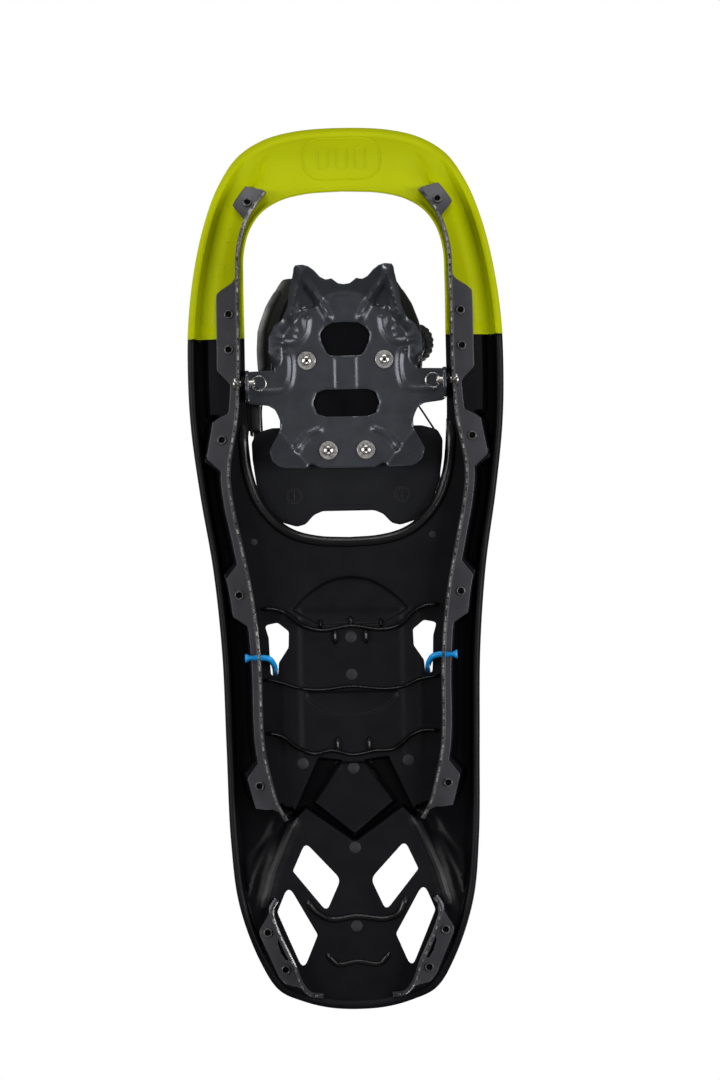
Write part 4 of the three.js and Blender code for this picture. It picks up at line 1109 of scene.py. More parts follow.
def make_nose_shell():
    border = clipped_loop(above=True)
    rows = rows_inside(OUTLINE, (0.5, 1.3, 2.4, 3.6, 4.8, 6.0, 7.2, 8.6, 10.5))
    rows += [OPENING - right_of(OPENING, closed=True) * off for off in (0.4, 1.0, 1.8, 2.8, 3.8)]
    for side in SIDES.values():
        ridge = spaced(np.array(GUSSET) * (side, 1), 1.2)
        rows += [ridge + right_of(ridge) * off for off in (-4.2, -2.8, -1.4, 0, 1.4, 2.8, 4.2)]
    pitch = 2.8
    plan = plan_mesh(border, [], pitch, rows)
    mesh = plan_shell(plan, nose_under(plan[0]), nose_top(plan[0]))
    engraved_badge(mesh)
    for place in [(78, 229), (-93, 199), (86, 205)]:
        ring = circle_points(place[0], place[1], 4.6, 28)
        loop = np.array(ring)
        mesh.join(tube(np.column_stack([loop, nose_under(loop) + 0.12]), 0.22, 5, loop=True))
    return piece("nose_shell_moulding", mesh, [LIME], "frame", ["nose_shell"], 42)


# ---------------------------------------------------------------- rails


def rail_stand_off(y):
    """How far a rail's flange stands below the deck, more where the nose bends up."""
    return GAP + 1.1 * np.clip((y - NOSE_BEND_START) / 15, 0, 1)


def toothed_blade(line, sign, width_at, blade_drop, end_taper, tooth_pitch, tooth_depth):
    """Sheet steel bent to an angle: a toothed blade on edge, and a flange outboard under the deck."""
    curve = curve_through(line)
    length = np.linalg.norm(np.diff(curve, axis=0), axis=1).sum()
    teeth = int(round(length / tooth_pitch))
    pitch = length / teeth
    along, tip = [], []
    for k in range(teeth):
        uneven = 0.07 * math.sin(2.4 * k)
        for share, is_tip in [(0.0, 0), (0.14 + uneven, 1), (0.5 + uneven, 1), (0.64 + uneven, 0)]:
            along.append((k + share) * pitch)
            tip.append(is_tip)
    along.append(length)
    tip.append(0)
    travelled = np.concatenate([[0], np.cumsum(np.linalg.norm(np.diff(curve, axis=0), axis=1))])
    middle = np.stack([np.interp(along, travelled, curve[:, k]) for k in range(2)], axis=1)
    fine = np.stack([np.interp(np.array(along) + off, travelled, curve[:, 0]) for off in (-2, 2)])
    fine_y = np.stack([np.interp(np.array(along) + off, travelled, curve[:, 1]) for off in (-2, 2)])
    direction = np.stack([fine[1] - fine[0], fine_y[1] - fine_y[0]], axis=1)
    direction /= np.linalg.norm(direction, axis=1)[:, None]
    out = np.stack([-direction[:, 1], direction[:, 0]], axis=1)
    half = BLADE_HALF
    rings, marks = [], []
    for i, point in enumerate(middle):
        end = min(along[i], length - along[i])
        drop = blade_drop * min(1.0, 0.34 + 0.66 * end / end_taper) - (0 if tip[i] else tooth_depth)
        width = max(half + 1.4, float(width_at(point[1])))
        section = [
            (-half, -drop + 1.3), (-0.4, -drop), (0.4, -drop), (half, -drop + 1.3),
            (half, -4.6), (half + 0.4, -3.2), (half + 1.2, -2.55),
            (width - 0.5, -2.5), (width, -2.1), (width, -0.4), (width - 0.5, 0),
            (1.6, 0), (0.2, -0.35), (-0.8, -1.3), (-half, -3.0),
        ]
        offsets = np.array([offset for offset, _ in section])
        xy = point + out[i] * offsets[:, None]
        level_at = np.where(offsets > half, xy[:, 1], point[1])
        base = deck_under(level_at) - rail_stand_off(level_at)
        rings.append(np.column_stack([xy[:, 0] * sign, xy[:, 1], base + [rise for _, rise in section]]))
    mesh = loft(rings)
    size = len(rings[0])
    for r in range(len(rings) - 1):
        both_tips = tip[r] and tip[r + 1]
        for k in range(size):
            edge_mark = 2 if both_tips and k == 1 else 1
            marks.append(edge_mark if k in (0, 1, 2) else 0)
    marks += [0, 0]
    mesh.marks = marks
    return mesh


def make_side_rail(side, sign):
    mesh = toothed_blade(RAIL_LINE, sign, tab_width, 27.4, 24.0, RAIL_TOOTH_PITCH, RAIL_TOOTH_DEPTH)
    piece(
        f"side_rail_{side}_steel", mesh, [RAIL, BLADE, WORN], "frame",
        [f"side_rail_{side}"], 30
    )


TAIL_FLANGE = [
    (56.2, -236), (59.8, -239.5), (67.6, -252), (67, -256), (54.4, -285), (50.6, -289.6), (40, -292.5),
    (34, -295), (38.6, -289), (43.2, -276.5), (48, -266), (54, -252.7), (57, -243),
]
TAIL_SLOT = [(54.2, -256), (51.4, -264), (47.2, -273.5), (49.6, -273), (52.8, -268), (55, -261)]


def make_tail_rail(side, sign):
    mesh = toothed_blade(TAIL_RAIL_LINE, sign, lambda y: 2.7, 22.0, 16.0, 6.4, 3.0)
    border = rounded_loop(np.array(TAIL_FLANGE) * (sign, 1), 3, 2.0)
    slot = rounded_loop(np.array(TAIL_SLOT) * (sign, 1), 2, 1.2)
    plan = plan_mesh(border, [slot], 3.0)
    top = deck_under(plan[0][:, 1]) - GAP - 0.05
    mesh.join(plan_shell(plan, top - SHEET_STEEL, top))
    piece(
        f"tail_rail_{side}_steel", mesh, [RAIL, RAIL, BLADE], "frame",
        [f"tail_rail_{side}"], 30
    )


def make_rivets():
    """Tubular rivets: a rolled ring under the rail round a near-black disc, painted shade for the dark
    bore, and a low dome on top of the deck.
    """
    mesh = Mesh()
    names = []
    for side, sign in SIDES.items():
        for i, (x, y) in enumerate(RIVET_PLACES + TAIL_RIVET_PLACES):
            slope = float(deck_slope(y))
            axis = (0, -math.sin(slope), math.cos(slope))
            base = (x * sign, y, float(deck_under(y)))
            under = -(SHEET_STEEL + float(rail_stand_off(y)) + 0.25)
            grip = DECK_SKIN + GAP + (3.3 if i in (1, 2) else 0)
            ring = [(2.3, under + 1.2), (3.1, under + 0.3), (3.15, under - 0.3), (3.0, under - 0.75),
                    (2.6, under - 0.95), (2.2, under - 0.8), (2.0, under - 0.3), (1.95, under + 1.0),
                    (2.3, under + 1.2)]
            mesh.join(turned(ring, base, axis, 28, 0))
            # The near-black disc across the bore is painted shade, not a real recess.
            hollow = [(0, under + 0.2), (2.2, under + 0.2), (2.2, under), (0, under)]
            mesh.join(turned(hollow, base, axis, 20, 1))
            dome = [(0, grip - 1.0), (1.9, grip - 1.0), (1.9, grip), (3.4, grip), (3.3, grip + 0.5),
                    (2.2, grip + 1.05), (0, grip + 1.2)]
            mesh.join(turned(dome, base, axis, 24, 0))
            names.append(f"rivet_{side}_{i + 1}")
    piece("rivet_set", mesh, [RIVET, HOLLOW_PAINTED_SHADE], "frame", names, 50)


# ---------------------------------------------------------------- crampon

CRAMPON_EDGE = [
    (0, 194.4), (4, 194.9), (7, 197), (8.6, 198.4), (10.5, 197.7), (13, 197.5), (16.5, 199.2),
    (20.4, 203.3), (24.4, 206), (28.3, 206.9), (33, 206.4), (34.4, 204.4), (34.8, 201.2), (36.3, 195.2),
    (37.8, 190), (39.3, 179), (43.3, 170), (48.8, 166), (52.4, 157.5), (52.8, 147), (51.2, 140),
    (49.4, 135.6), (66.8, 135.2), (69.3, 133.6), (69.3, 114.4), (66.8, 112.8), (54, 111.2), (49.6, 108.5),
    (47.6, 104.5), (46.2, 100.5), (46.4, 94), (53.5, 79.6), (51.5, 72.3), (47.5, 69), (43.6, 67.6),
    (28.3, 67.6), (26, 70), (23.6, 70), (18.5, 67.4), (0, 67.2),
]
CRAMPON_FLAT = [
    (0, 188.4), (7, 187.4), (14, 184.2), (22, 179), (30, 173), (37, 166), (42, 160), (43.6, 152),
    (43.6, 143), (46, 138), (80, 138), (80, 105), (55, 103), (47.2, 97), (46.2, 94), (27.2, 69.8),
    (25, 62), (0, 62),
]
SHIELD_SLOT = [
    (0, 168.6), (9, 168), (14, 165.3), (17.4, 160.5), (16.6, 155), (13, 147.5), (10.3, 145.2), (0, 145)
]
STADIUM_SLOT = [(0, 121.8), (15, 121.8), (20.5, 119.6), (23.2, 112.3), (20.5, 105.2), (15, 103), (0, 102.8)]
CLAW_RIDGES = [
    [(29.2, 203), (29.8, 198), (33.4, 186), (37, 172)],
    [(29.2, 203), (28.4, 198), (20.5, 188), (14.5, 178)]
]
CLAW_POCKET = [(28.4, 193.5), (33.8, 176.5), (18.6, 180.5)]
CLAW_RIBS = [
    ([(16.5, 182), (14.0, 177.5), (11.4, 172)], 2.4, 2.2),
    ([(-6, 187.6), (0, 188.2), (6, 187.6), (12, 185.3)], 1.3, 0.9),
    ([(26, 170.5), (27.5, 162), (32, 156), (38, 154), (45, 155)], 2.2, 1.6),
    ([(37, 170), (31.5, 163), (33.5, 159.5)], 1.6, 1.1),
    ([(41, 149), (38, 146), (37.6, 132), (40, 124.5), (45, 121.5), (60, 121.2)], 1.9, 1.2),
    ([(19.5, 94), (26.5, 91), (32, 85.5), (35, 80.5)], 2.2, 1.6),
    ([(35, 82), (44, 78), (50.5, 76.5)], 2.2, 1.2),
    ([(46, 101), (50, 108.5)], 1.4, 0.8),
]


def closed_half(half):
    """The closed outline of both halves, as an array."""
    return np.array(both_halves(half), float)


def crampon_height(points):
    """The underside of the stamped plate: flat, folded down into claws, with pressed ribs."""
    x, y = np.abs(points[:, 0]), points[:, 1]
    outside = np.clip(-signed_distance(points, closed_half(CRAMPON_FLAT)), 0, None)
    steep = 0.98 + 1.35 * smooth(172, 158, y) - 0.85 * smooth(100, 94, y)
    bend = 2.2
    fold = np.where(outside < bend, outside**2 / (2 * bend), outside - bend / 2)
    height = CRAMPON_UNDER - steep * fold
    both = np.column_stack([x, y])
    for path, width, press in CLAW_RIBS:
        away = distance_to(both, curve_through(path, per=8))
        height -= press * np.exp(-((away / width) ** 2))
    for path in CLAW_RIDGES:
        away = distance_to(both, curve_through(path, per=8))
        height -= 4.6 * np.clip(1 - away / 3.6, 0, 1) ** 1.2 * smooth(-1, 3, outside)
    height += 2.2 * smooth(-0.8, 1.0, signed_distance(both, CLAW_POCKET))
    channel = smooth(8.2, 6.8, x) * smooth(121, 123, y) * smooth(147, 144.5, y)
    height += 0.7 * channel
    return np.maximum(height, CLAW_TIP_HEIGHT)


def make_crampon():
    border = spaced(closed_half(CRAMPON_EDGE), 1.3, closed=True)
    slots = [rounded_loop(closed_half(s), 2, 1.3) for s in (SHIELD_SLOT, STADIUM_SLOT)]
    rows = []
    fold = spaced(closed_half(CRAMPON_FLAT), 1.3, closed=True)
    side = right_of(fold, closed=True)
    rows += [fold + side * off for off in (-2.4, -1.2, 0, 1.2)]
    pitch = 1.35
    plan = plan_mesh(border, slots, pitch, rows)
    low = crampon_height(plan[0])
    edge = np.minimum(distance_to(plan[0], border, closed=True), 0.9) / 0.9
    for slot in slots:
        edge = np.minimum(edge, np.minimum(distance_to(plan[0], slot, closed=True), 0.9) / 0.9)
    round_off = 0.5 * (1 - np.sqrt(np.clip(1 - (1 - edge) ** 2, 0, 1)))
    thick = SHEET_STEEL * np.where(low < 28, 1.25, 1.0)
    mesh = plan_shell(plan, low + round_off, low + thick - round_off)
    for sign in SIDES.values():
        ear = rounded(
            [
                (PIN_Y - 12, 31.5), (PIN_Y - 12, 13), (PIN_Y - 6, 7), (PIN_Y + 6, 7), (PIN_Y + 9, 13),
                (PIN_Y + 9, 31.5)
            ],
            4
        )
        flat = plate_prism(spaced(ear, 1.5, closed=True), 66.8, 69.3, 0.6)
        verts = np.concatenate(flat.verts)[:, [2, 0, 1]] * (sign, 1, 1)
        mesh.join(faced_out(Mesh().add(verts, flat.faces)))
    piece("crampon_stamping", mesh, [PLATE], "binding", ["crampon_plate"], 44)


SCREW_PLACES = [(27, 142), (-27, 142), (13, 79.5), (-13, 79.5)]
SCREW_WASHER_UNDER = CRAMPON_UNDER - GAP - 1.2


def make_fasteners():
    washers, screws = Mesh(), Mesh()
    for x, y in SCREW_PLACES:
        base = (x, y, SCREW_WASHER_UNDER)
        ring = [(2.9, 0.1), (3.3, 0), (5.9, 0), (6.3, 0.3), (6.3, 0.9), (5.9, 1.2), (2.9, 1.2), (2.9, 0.1)]
        washers.join(turned(ring, base, sides=40))
        head = [
            (0, -0.6), (1.35, -0.6), (1.5, -1.55), (2.1, -1.85), (2.9, -1.5), (3.2, -1.0), (3.2, -0.3),
            (2.2, -0.3), (2.2, 7.6), (0, 7.6)
        ]
        screws.join(turned(head, base, sides=32))
        # A thin near-black hexagon plate under the head: painted shade standing in for the socket's recess.
        hexagon = [(x + 0.8 * math.cos(t), y + 0.8 * math.sin(t)) for t in np.arange(6) * math.pi / 3]
        screws.join(plate_prism(hexagon, base[2] - 0.75, base[2] - 0.5, 0.05, mark=1))
    piece(
        "washer_set", washers, [WASHER], "binding", [f"washer_{i}" for i in range(1, 5)],
        35
    )
    piece(
        "screw_set", screws, [PLATED, HOLLOW_PAINTED_SHADE], "binding",
        [f"screw_{i}" for i in range(1, 5)], 35
    )


def make_pivot_hardware():
    for side, sign in SIDES.items():
        axis = (sign, 0, 0)
        origin = (0, PIN_Y, PIN_Z)
        pin = [
            (0, 62.4), (1.7, 62.4), (2.3, 62.7), (2.5, 63.2), (2.5, 75.5), (4.2, 75.5), (4.6, 75.9),
            (4.6, 76.8), (4.1, 77.5), (2.6, 77.8), (0, 77.8)
        ]
        piece(f"clevis_pin_{side}_turned", turned(pin, origin, axis, 32), [PLATED], "frame",
              [f"clevis_pin_{side}"], 35)
        bush = [(2.9, 69.7), (4.7, 69.7), (5, 70), (5, 71.8), (4.7, 72.1), (2.9, 72.1), (2.9, 69.7)]
        piece(
            f"pivot_bush_{side}_turned", turned(bush, origin, axis, 32), [BINDING], "frame",
            [f"pivot_bush_{side}"], 35
        )
        turns = np.linspace(0, 4 * math.pi, 97)
        coil = np.column_stack([
            sign * (60.0 + 5.0 * np.cos(turns)), PIN_Y + 5.0 * np.sin(turns),
            PIN_Z - 0.45 + 0.9 * turns / (4 * math.pi)])
        piece(f"split_ring_{side}_coil", tube(coil, 0.46, 10), [PLATED], f"ring_{side}",
              [f"split_ring_{side}"], 60)


# ---------------------------------------------------------------- heel lift

BAIL_ROUTE_HALF = [
    (66, BAIL_Y, BAIL_Z), (60, BAIL_Y, BAIL_Z), (56.5, BAIL_Y - 1, BAIL_Z + 1),
    (BAIL_ARM_X + 1, BAIL_Y - 4.5, BAIL_Z + 6), (BAIL_ARM_X, BAIL_Y - 9, BAIL_Z + 14),
    (BAIL_ARM_X, BAIL_Y - 17, BAIL_Z + BAIL_RISE), (BAIL_ARM_X - 1, BAIL_Y - 31, BAIL_Z + BAIL_RISE),
    (BAIL_ARM_X - 3, BAIL_Y - 40, BAIL_Z + BAIL_RISE), (BAIL_ARM_X - 10, BAIL_Y - 46.5, BAIL_Z + BAIL_RISE),
    (24, BAIL_Y - 48, BAIL_Z + BAIL_RISE),
]


def make_bail():
    route = spaced(curve_through(BAIL_ROUTE_HALF + mirrored(BAIL_ROUTE_HALF)[::-1], per=10), 1.6)
    mesh = tube(route, 2.0, 18)
    for sign in SIDES.values():
        rings = []
        for x, half_y, half_z in [
            (64.5, 2.0, 2.0), (66.5, 2.0, 2.0), (68.2, 1.5, 2.5), (70.4, 1.9, 2.3), (72.0, 2.9, 2.1),
            (72.9, 3.1, 1.8), (73.3, 2.5, 1.2)
        ]:
            angles = np.linspace(0, 2 * math.pi, 20, endpoint=False)
            rings.append(np.column_stack([
                np.full(20, sign * x), BAIL_Y + half_y * np.cos(angles), BAIL_Z + half_z * np.sin(angles)]))
        mesh.join(loft(rings))
    piece("heel_lift_wire", mesh, [BLUE], "heel_lift", ["heel_lift_bail"], 40)


# ---------------------------------------------------------------- binding

BASE_HALF = [
    (0, 190), (22, 189), (33, 181), (43, 168), (50, 155), (52, 135), (48, 116), (44, 98), (40, 76),
    (34, 70), (0, 70)
]
HEEL_PLATE_HALF = [
    (0, 96), (52, 96), (63, 93), (66.5, 86), (66, 74), (63.5, 56), (57, 40), (46, 30), (36, 27),
    (30, 28.5), (24, 35), (18, 37.5), (0, 37.5),
]


def ridged_plate(half, corner, low, high, ridge_pitch, pitch=3.0):
    """A moulded plate: smooth and slightly crowned below, with shallow grip ridges on top."""
    border = rounded_loop(closed_half(half), corner, 1.8)
    rows = []
    side = right_of(border, closed=True)
    area = np.sum(border[:, 0] * np.roll(border[:, 1], -1) - border[:, 1] * np.roll(border[:, 0], -1))
    inward = -side if area > 0 else side
    rows += [border + inward * off for off in (0.4, 0.9, 1.6)]
    plan = plan_mesh(border, [], pitch, rows)
    inset = distance_to(plan[0], border, closed=True)
    round_off = 0.9 * (1 - np.sqrt(np.clip(1 - (1 - np.clip(inset / 1.2, 0, 1)) ** 2, 0, 1)))
    ridges = 0.35 * (0.5 + 0.5 * np.cos(plan[0][:, 1] * 2 * math.pi / ridge_pitch)) * smooth(3, 7, inset)
    return plan_shell(plan, low + round_off, high - round_off - 0.35 + ridges)


def date_dial(place, z, radius=5.2):
    """A moulder's plain date dial: a raised ring with a short bar through its middle and short marks."""
    x, y = place
    circle = np.array(circle_points(x, y, radius, 32))
    mesh = tube(np.column_stack([circle, np.full(32, z)]), 0.3, 6, mark=1, loop=True)
    for t in np.linspace(0, 2 * math.pi, 12, endpoint=False):
        line = [
            (x + r * math.cos(t), y + r * math.sin(t), z)
            for r in np.linspace(radius * 0.6, radius * 0.9, 4)
        ]
        mesh.join(tube(line, 0.3, 5, mark=1))
    line = [(x, y + r, z) for r in np.linspace(-radius * 0.45, radius * 0.45, 4)]
    return mesh.join(tube(line, 0.34, 5, mark=1))


def make_plates():
    base = ridged_plate(BASE_HALF, 5, BASE_UNDER, BASE_TOP, 8.0)
    # The base gets the darker polished black as painted shade, for the shadow it lies in behind the
    # crampon's slots.
    piece("binding_base_moulding", base, [POLISH_AND_SHADE_BLACK], "binding", ["binding_base"], 40)
    heel = ridged_plate(HEEL_PLATE_HALF, 5, HEEL_PLATE_UNDER, HEEL_PLATE_TOP, 7.0)
    for place in [(37.5, 48.3), (-37.5, 48.5)]:
        heel.join(date_dial(place, HEEL_PLATE_UNDER))
    step = np.column_stack(
        [np.linspace(-17, 17, 20), np.full(20, 41.5), np.full(20, HEEL_PLATE_UNDER + 0.1)]
    )
    heel.join(tube(step, 0.35, 6))
    piece(
        "heel_plate_moulding", heel, [BINDING, BLACK_PLUG], "binding", ["heel_plate"],
        40
    )


WING_STATIONS = [(130, 59), (150, 60), (166, 59), (182, 53), (200, 42)]
DIAL_SIDE_TUCK = 8.0
WING_SKIN = 3.4
LINER_THICKNESS = 4.0


def wing_bulge(y):
    """How far out a wing reaches at its widest, at a place along Y."""
    return np.interp(y, [s[0] for s in WING_STATIONS], [s[1] for s in WING_STATIONS])


def wing_line(bulge):
    """A wing's section in X and Z: up from the base and over the boot."""
    return np.array(
        [
            (bulge - 12, BASE_TOP + 2.2), (bulge - 3, BASE_TOP + 9), (bulge, BASE_TOP + 23),
            (bulge - 5, BASE_TOP + 39), (bulge - 17, BASE_TOP + 52), (bulge - 32, BASE_TOP + 59)
        ]
    )


def panel(sign, y_low, y_high, from_share, to_share, inset, thickness, bow=0.0, corner=6.0, stations=15):
    """A moulded panel bent round the boot, from one share of the wing's section to another."""
    tuck = DIAL_SIDE_TUCK if sign < 0 else 0.0
    rings = []
    ys = y_low + (y_high - y_low) * (0.5 - 0.5 * np.cos(np.linspace(0, math.pi, stations)))
    for i, y in enumerate(ys):
        line = curve_through(wing_line(float(wing_bulge(y)) - tuck), per=10)
        line = spaced(line, 1.0)
        shares = np.linspace(0, 1, len(line))
        end = min(i, stations - 1 - i)
        pull = [0.022, 0.006, 0.0][min(end, 2)]
        near = max(0.0, 1 - min(y - y_low, y_high - y) / corner)
        cut = corner * (1 - math.sqrt(1 - near**2)) / len(line)
        wanted = np.linspace(from_share + max(pull, 0.5 * cut), to_share - max(pull, cut), 26)
        line = np.stack([np.interp(wanted, shares, line[:, k]) for k in range(2)], axis=1)
        side = right_of(line)
        middle = line - side * inset
        across = np.linspace(-1, 1, 26)
        bowed = bow * (1 - ((y - (y_low + y_high) / 2) / ((y_high - y_low) / 2)) ** 2)
        taper = np.clip((1 - np.abs(across)) / 0.1, 0.35, 1) ** 0.5
        body = 1.0 if end >= 2 else (0.8 if end == 1 else 0.45)
        half = thickness / 2 * taper * body
        outer = middle + side * (half + bowed)[:, None]
        inner = middle - side * half[:, None]
        ring = np.vstack([outer, inner[::-1]])
        rings.append(np.column_stack([ring[:, 0] * sign, np.full(len(ring), y), ring[:, 1]]))
    return loft(rings)


def make_wings():
    for side, sign in SIDES.items():
        shell = panel(sign, 130, 200, 0.0, 0.46, 0.0, WING_SKIN, corner=4.0)
        shell.join(panel(sign, 131, 160, 0.40, 1.0, -0.1, WING_SKIN, bow=0.3, corner=10.0))
        shell.join(panel(sign, 164, 197, 0.40, 1.0, -0.1, WING_SKIN, bow=0.3, corner=13.0))
        shell.join(panel(sign, 136, 155, 0.46, 0.86, -1.6, 1.6))
        shell.join(panel(sign, 168, 191, 0.46, 0.86, -1.6, 1.6))
        shell.join(panel(sign, 136, 192, 0.10, 0.36, -1.5, 1.5))
        piece(
            f"binding_wing_{side}_skin", shell, [RUBBER], "binding",
            [f"binding_wing_{side}"], 40
        )
        inset = (WING_SKIN + LINER_THICKNESS) / 2 + GAP
        liner = panel(sign, 132, 198, 0.02, 0.98, inset, LINER_THICKNESS - 0.2, corner=12.0, stations=26)
        pad = piece(
            f"wing_liner_{side}_foam", liner, [KNIT], "binding", [f"wing_liner_{side}"],
            70
        )


def swell(obj, voxel, cap):
    """Puff a pad up by cloth simulation, with no point further than cap from where it started."""

    def applied():
        now = bpy.context.evaluated_depsgraph_get()
        return bpy.data.meshes.new_from_object(obj.evaluated_get(now))

    def corners(mesh):
        flat = np.empty(len(mesh.vertices) * 3)
        mesh.vertices.foreach_get("co", flat)
        return flat.reshape(-1, 3)

    material = obj.data.materials[0]
    voxels = obj.modifiers.new("voxels", "REMESH")
    voxels.mode = "VOXEL"
    voxels.voxel_size = voxel * MM
    start = applied()
    obj.modifiers.clear()
    obj.data = start
    cloth = obj.modifiers.new("swelling", "CLOTH")
    cloth.settings.use_pressure = True
    cloth.settings.uniform_pressure_force = 4.0
    cloth.settings.effector_weights.gravity = 0.0
    cloth.point_cache.frame_start = 1
    cloth.point_cache.frame_end = 20
    for frame in range(1, 21):
        bpy.context.scene.frame_set(frame)
    move = corners(applied()) - corners(start)
    obj.modifiers.clear()
    bpy.context.scene.frame_set(1)
    reach = np.linalg.norm(move, axis=1)[:, None]
    move *= np.minimum(1.0, cap * MM / np.maximum(reach, 1e-9))
    start.vertices.foreach_set("co", (corners(start) + move).ravel())
    start.update()
    obj.modifiers.new("smoother", "SUBSURF").levels = 1
    obj.data = applied()
    obj.modifiers.clear()
    obj.data.materials.clear()
    obj.data.materials.append(material)
    obj.data.polygons.foreach_set("use_smooth", [True] * len(obj.data.polygons))


def pillow(centre, half, power=2.6, bend=None, sides=36, rows=18):
    """A crowned pad: a superellipsoid, bent by a function of its points."""
    u = np.linspace(0, 2 * math.pi, sides, endpoint=False)
    v = np.linspace(-math.pi / 2 * 0.985, math.pi / 2 * 0.985, rows)

    def power_of(value, p):
        return np.sign(value) * np.abs(value) ** p

    rings = []
    e = 2 / power
    for angle in v:
        c, s = power_of(math.cos(angle), 0.75), power_of(math.sin(angle), 0.75)
        x = half[0] * c * power_of(np.cos(u), e)
        y = half[1] * c * power_of(np.sin(u), e)
        z = np.full(sides, half[2] * s)
        ring = np.column_stack([x, y, z])
        ring = bend(ring) if bend else ring
        rings.append(ring + np.asarray(centre, float))
    return loft(rings)


def make_instep_pad():
    def bend(points):
        out = points.copy()
        out[:, 2] -= 0.017 * out[:, 0] ** 2 + 0.12 * out[:, 1]
        return out

    middle, half = (4, 157, BASE_TOP + 48.6), (16.0, 22.0, 2.6)
    mesh = pillow(middle, half, bend=bend)
    pad = piece("instep_pad_foam", mesh, [KNIT], "binding", ["instep_pad"], 80)
    swell(pad, 1.6, 0.9)
    turns = np.linspace(0, 2 * math.pi, 73)[:-1]
    round_corner = 2 / 2.6
    edge = np.column_stack([
        (half[0] + 0.6) * np.sign(np.cos(turns)) * np.abs(np.cos(turns)) ** round_corner,
        (half[1] + 0.6) * np.sign(np.sin(turns)) * np.abs(np.sin(turns)) ** round_corner, np.zeros(72)])
    piping = tube(bend(edge) + np.array(middle), 0.7, 10, loop=True)
    piece("instep_pad_piping", piping, [TRIM], "binding", sharp=80)


LACE_TOP = BASE_TOP + 63.2
LACE_ROUTE = [
    (-63, 82, 69.2), (-62.5, 91, 69), (-57, 101, 71), (-50, 112, 77), (-42, 122, 88), (-30, 133, 97.5),
    (-19, 139, LACE_TOP), (0, 142, LACE_TOP + 0.6), (20, 142, LACE_TOP), (29, 146, LACE_TOP - 1.2),
    (20, 151, LACE_TOP), (0, 158, LACE_TOP + 0.6), (-14, 164, LACE_TOP), (-20.5, 168, LACE_TOP - 0.4),
    (-14, 172, LACE_TOP), (0, 172.5, LACE_TOP + 0.6), (18, 170.5, LACE_TOP - 0.4),
    (29, 165, LACE_TOP - 1.6), (39, 150, 98), (48, 138, 92), (56, 127, 82), (60, 112, 74), (60, 98, 71.5),
    (59, 82, 69.2),
]


def make_lace():
    path = spaced(curve_through(LACE_ROUTE, per=10), 1.2)
    mesh = tube(path, 0.7, 10)
    piece("lace_cable_run", mesh, [CABLE], "binding", ["lace"], 60)


def make_guides():
    for row, y in enumerate((143, 168), 1):
        for side, sign in SIDES.items():
            x = sign * (27 - (DIAL_SIDE_TUCK if sign < 0 else 0))
            low, high = BASE_TOP + 60.8, LACE_TOP + 1.8
            mesh = Mesh()
            outline = rounded_loop(four_corners(x, y, 6, 6), 2.8, 1.0)
            mesh.join(plate_prism(outline, low, LACE_TOP - 1.3, 0.5))
            crown = rounded_loop(four_corners(x, y, 4.2, 3.2), 2.4, 1.0)
            mesh.join(plate_prism(crown, LACE_TOP - 1.6, high, 0.7))
            piece(
                f"lace_guide_{row}_{side}_hook", mesh, [TRIM], "binding",
                [f"lace_guide_{row}_{side}"], 40
            )


DIAL_MIDDLE = (-42.5, 156, 88.8)
DIAL_TILT = math.radians(42)
DIAL_AXIS = (-math.sin(DIAL_TILT), 0, math.cos(DIAL_TILT))


def ribbed_knob(profile, ribs, depth):
    """A turned knob whose wide part is cut with grip ribs."""
    mesh = turned(profile, DIAL_MIDDLE, DIAL_AXIS, sides=ribs * 6)
    verts = np.concatenate(mesh.verts)
    axis = np.array(DIAL_AXIS)
    from_middle = verts - np.array(DIAL_MIDDLE)
    height = from_middle @ axis
    radial = from_middle - height[:, None] * axis
    radius = np.linalg.norm(radial, axis=1)
    u = np.cross(axis, (0, 1.0, 0))
    u /= np.linalg.norm(u)
    v = np.cross(axis, u)
    angle = np.arctan2(radial @ v, radial @ u)
    cut = depth * (0.5 + 0.5 * np.cos(angle * ribs)) ** 2 * smooth(9, 12, radius)
    verts = verts - radial / np.maximum(radius, 1e-6)[:, None] * cut[:, None]
    return Mesh().add(verts, mesh.faces, mesh.marks)


def make_dial():
    housing = [
        (0, 0), (15.4, 0), (16.2, 0.6), (16.5, 2), (15.9, 3.4), (14.6, 4.3), (12, 4.5), (6.9, 4.5),
        (6.5, 4.1), (6.5, 2), (0, 2)
    ]
    hub = [(0, 2.4), (5.7, 2.4), (6, 2.7), (6, 6.6), (5.6, 7), (3.4, 7), (3.4, 11.6), (3.1, 12), (0, 12)]
    knob = [
        (3.8, 7.4), (12.4, 7.4), (13.3, 7.9), (14, 9), (13.8, 13.6), (13.2, 15.6), (12, 16.6), (10.6, 17),
        (8.6, 16.6), (6.6, 16.2), (4.4, 16.4), (3.8, 16.8), (3.8, 7.4)
    ]
    base = turned(housing, DIAL_MIDDLE, DIAL_AXIS, 48)
    piece("dial_housing_cup", base, [TRIM], "binding", ["dial_housing"], 40)
    piece(
        "dial_hub_turned", turned(hub, DIAL_MIDDLE, DIAL_AXIS, 32), [PLATED], "dial_hub",
        ["dial_hub"], 40
    )
    piece(
        "dial_knob_grip", ribbed_knob(knob, 18, 0.9), [RUBBER], "dial_knob", ["dial_knob"],
        40
    )


STRAP_ROUTE = [
    (64, 114, 56), (64, 92, 56), (63.4, 70, 59), (61.6, 46, 65), (55, 16, 73), (40, -16, 80),
    (18, -36, 84), (0, -41, 85), (-18, -36, 84), (-40, -16, 80), (-54, 16, 73), (-58.8, 44, 65),
    (-59.8, 58, 62), (-59.8, 76, 58),
]
PAD_ROUTE = [
    (36, -10, 80), (26, -22.5, 82), (14, -30, 84), (0, -32.5, 85), (-14, -30, 84), (-26, -22.5, 82),
    (-36, -10, 80)
]


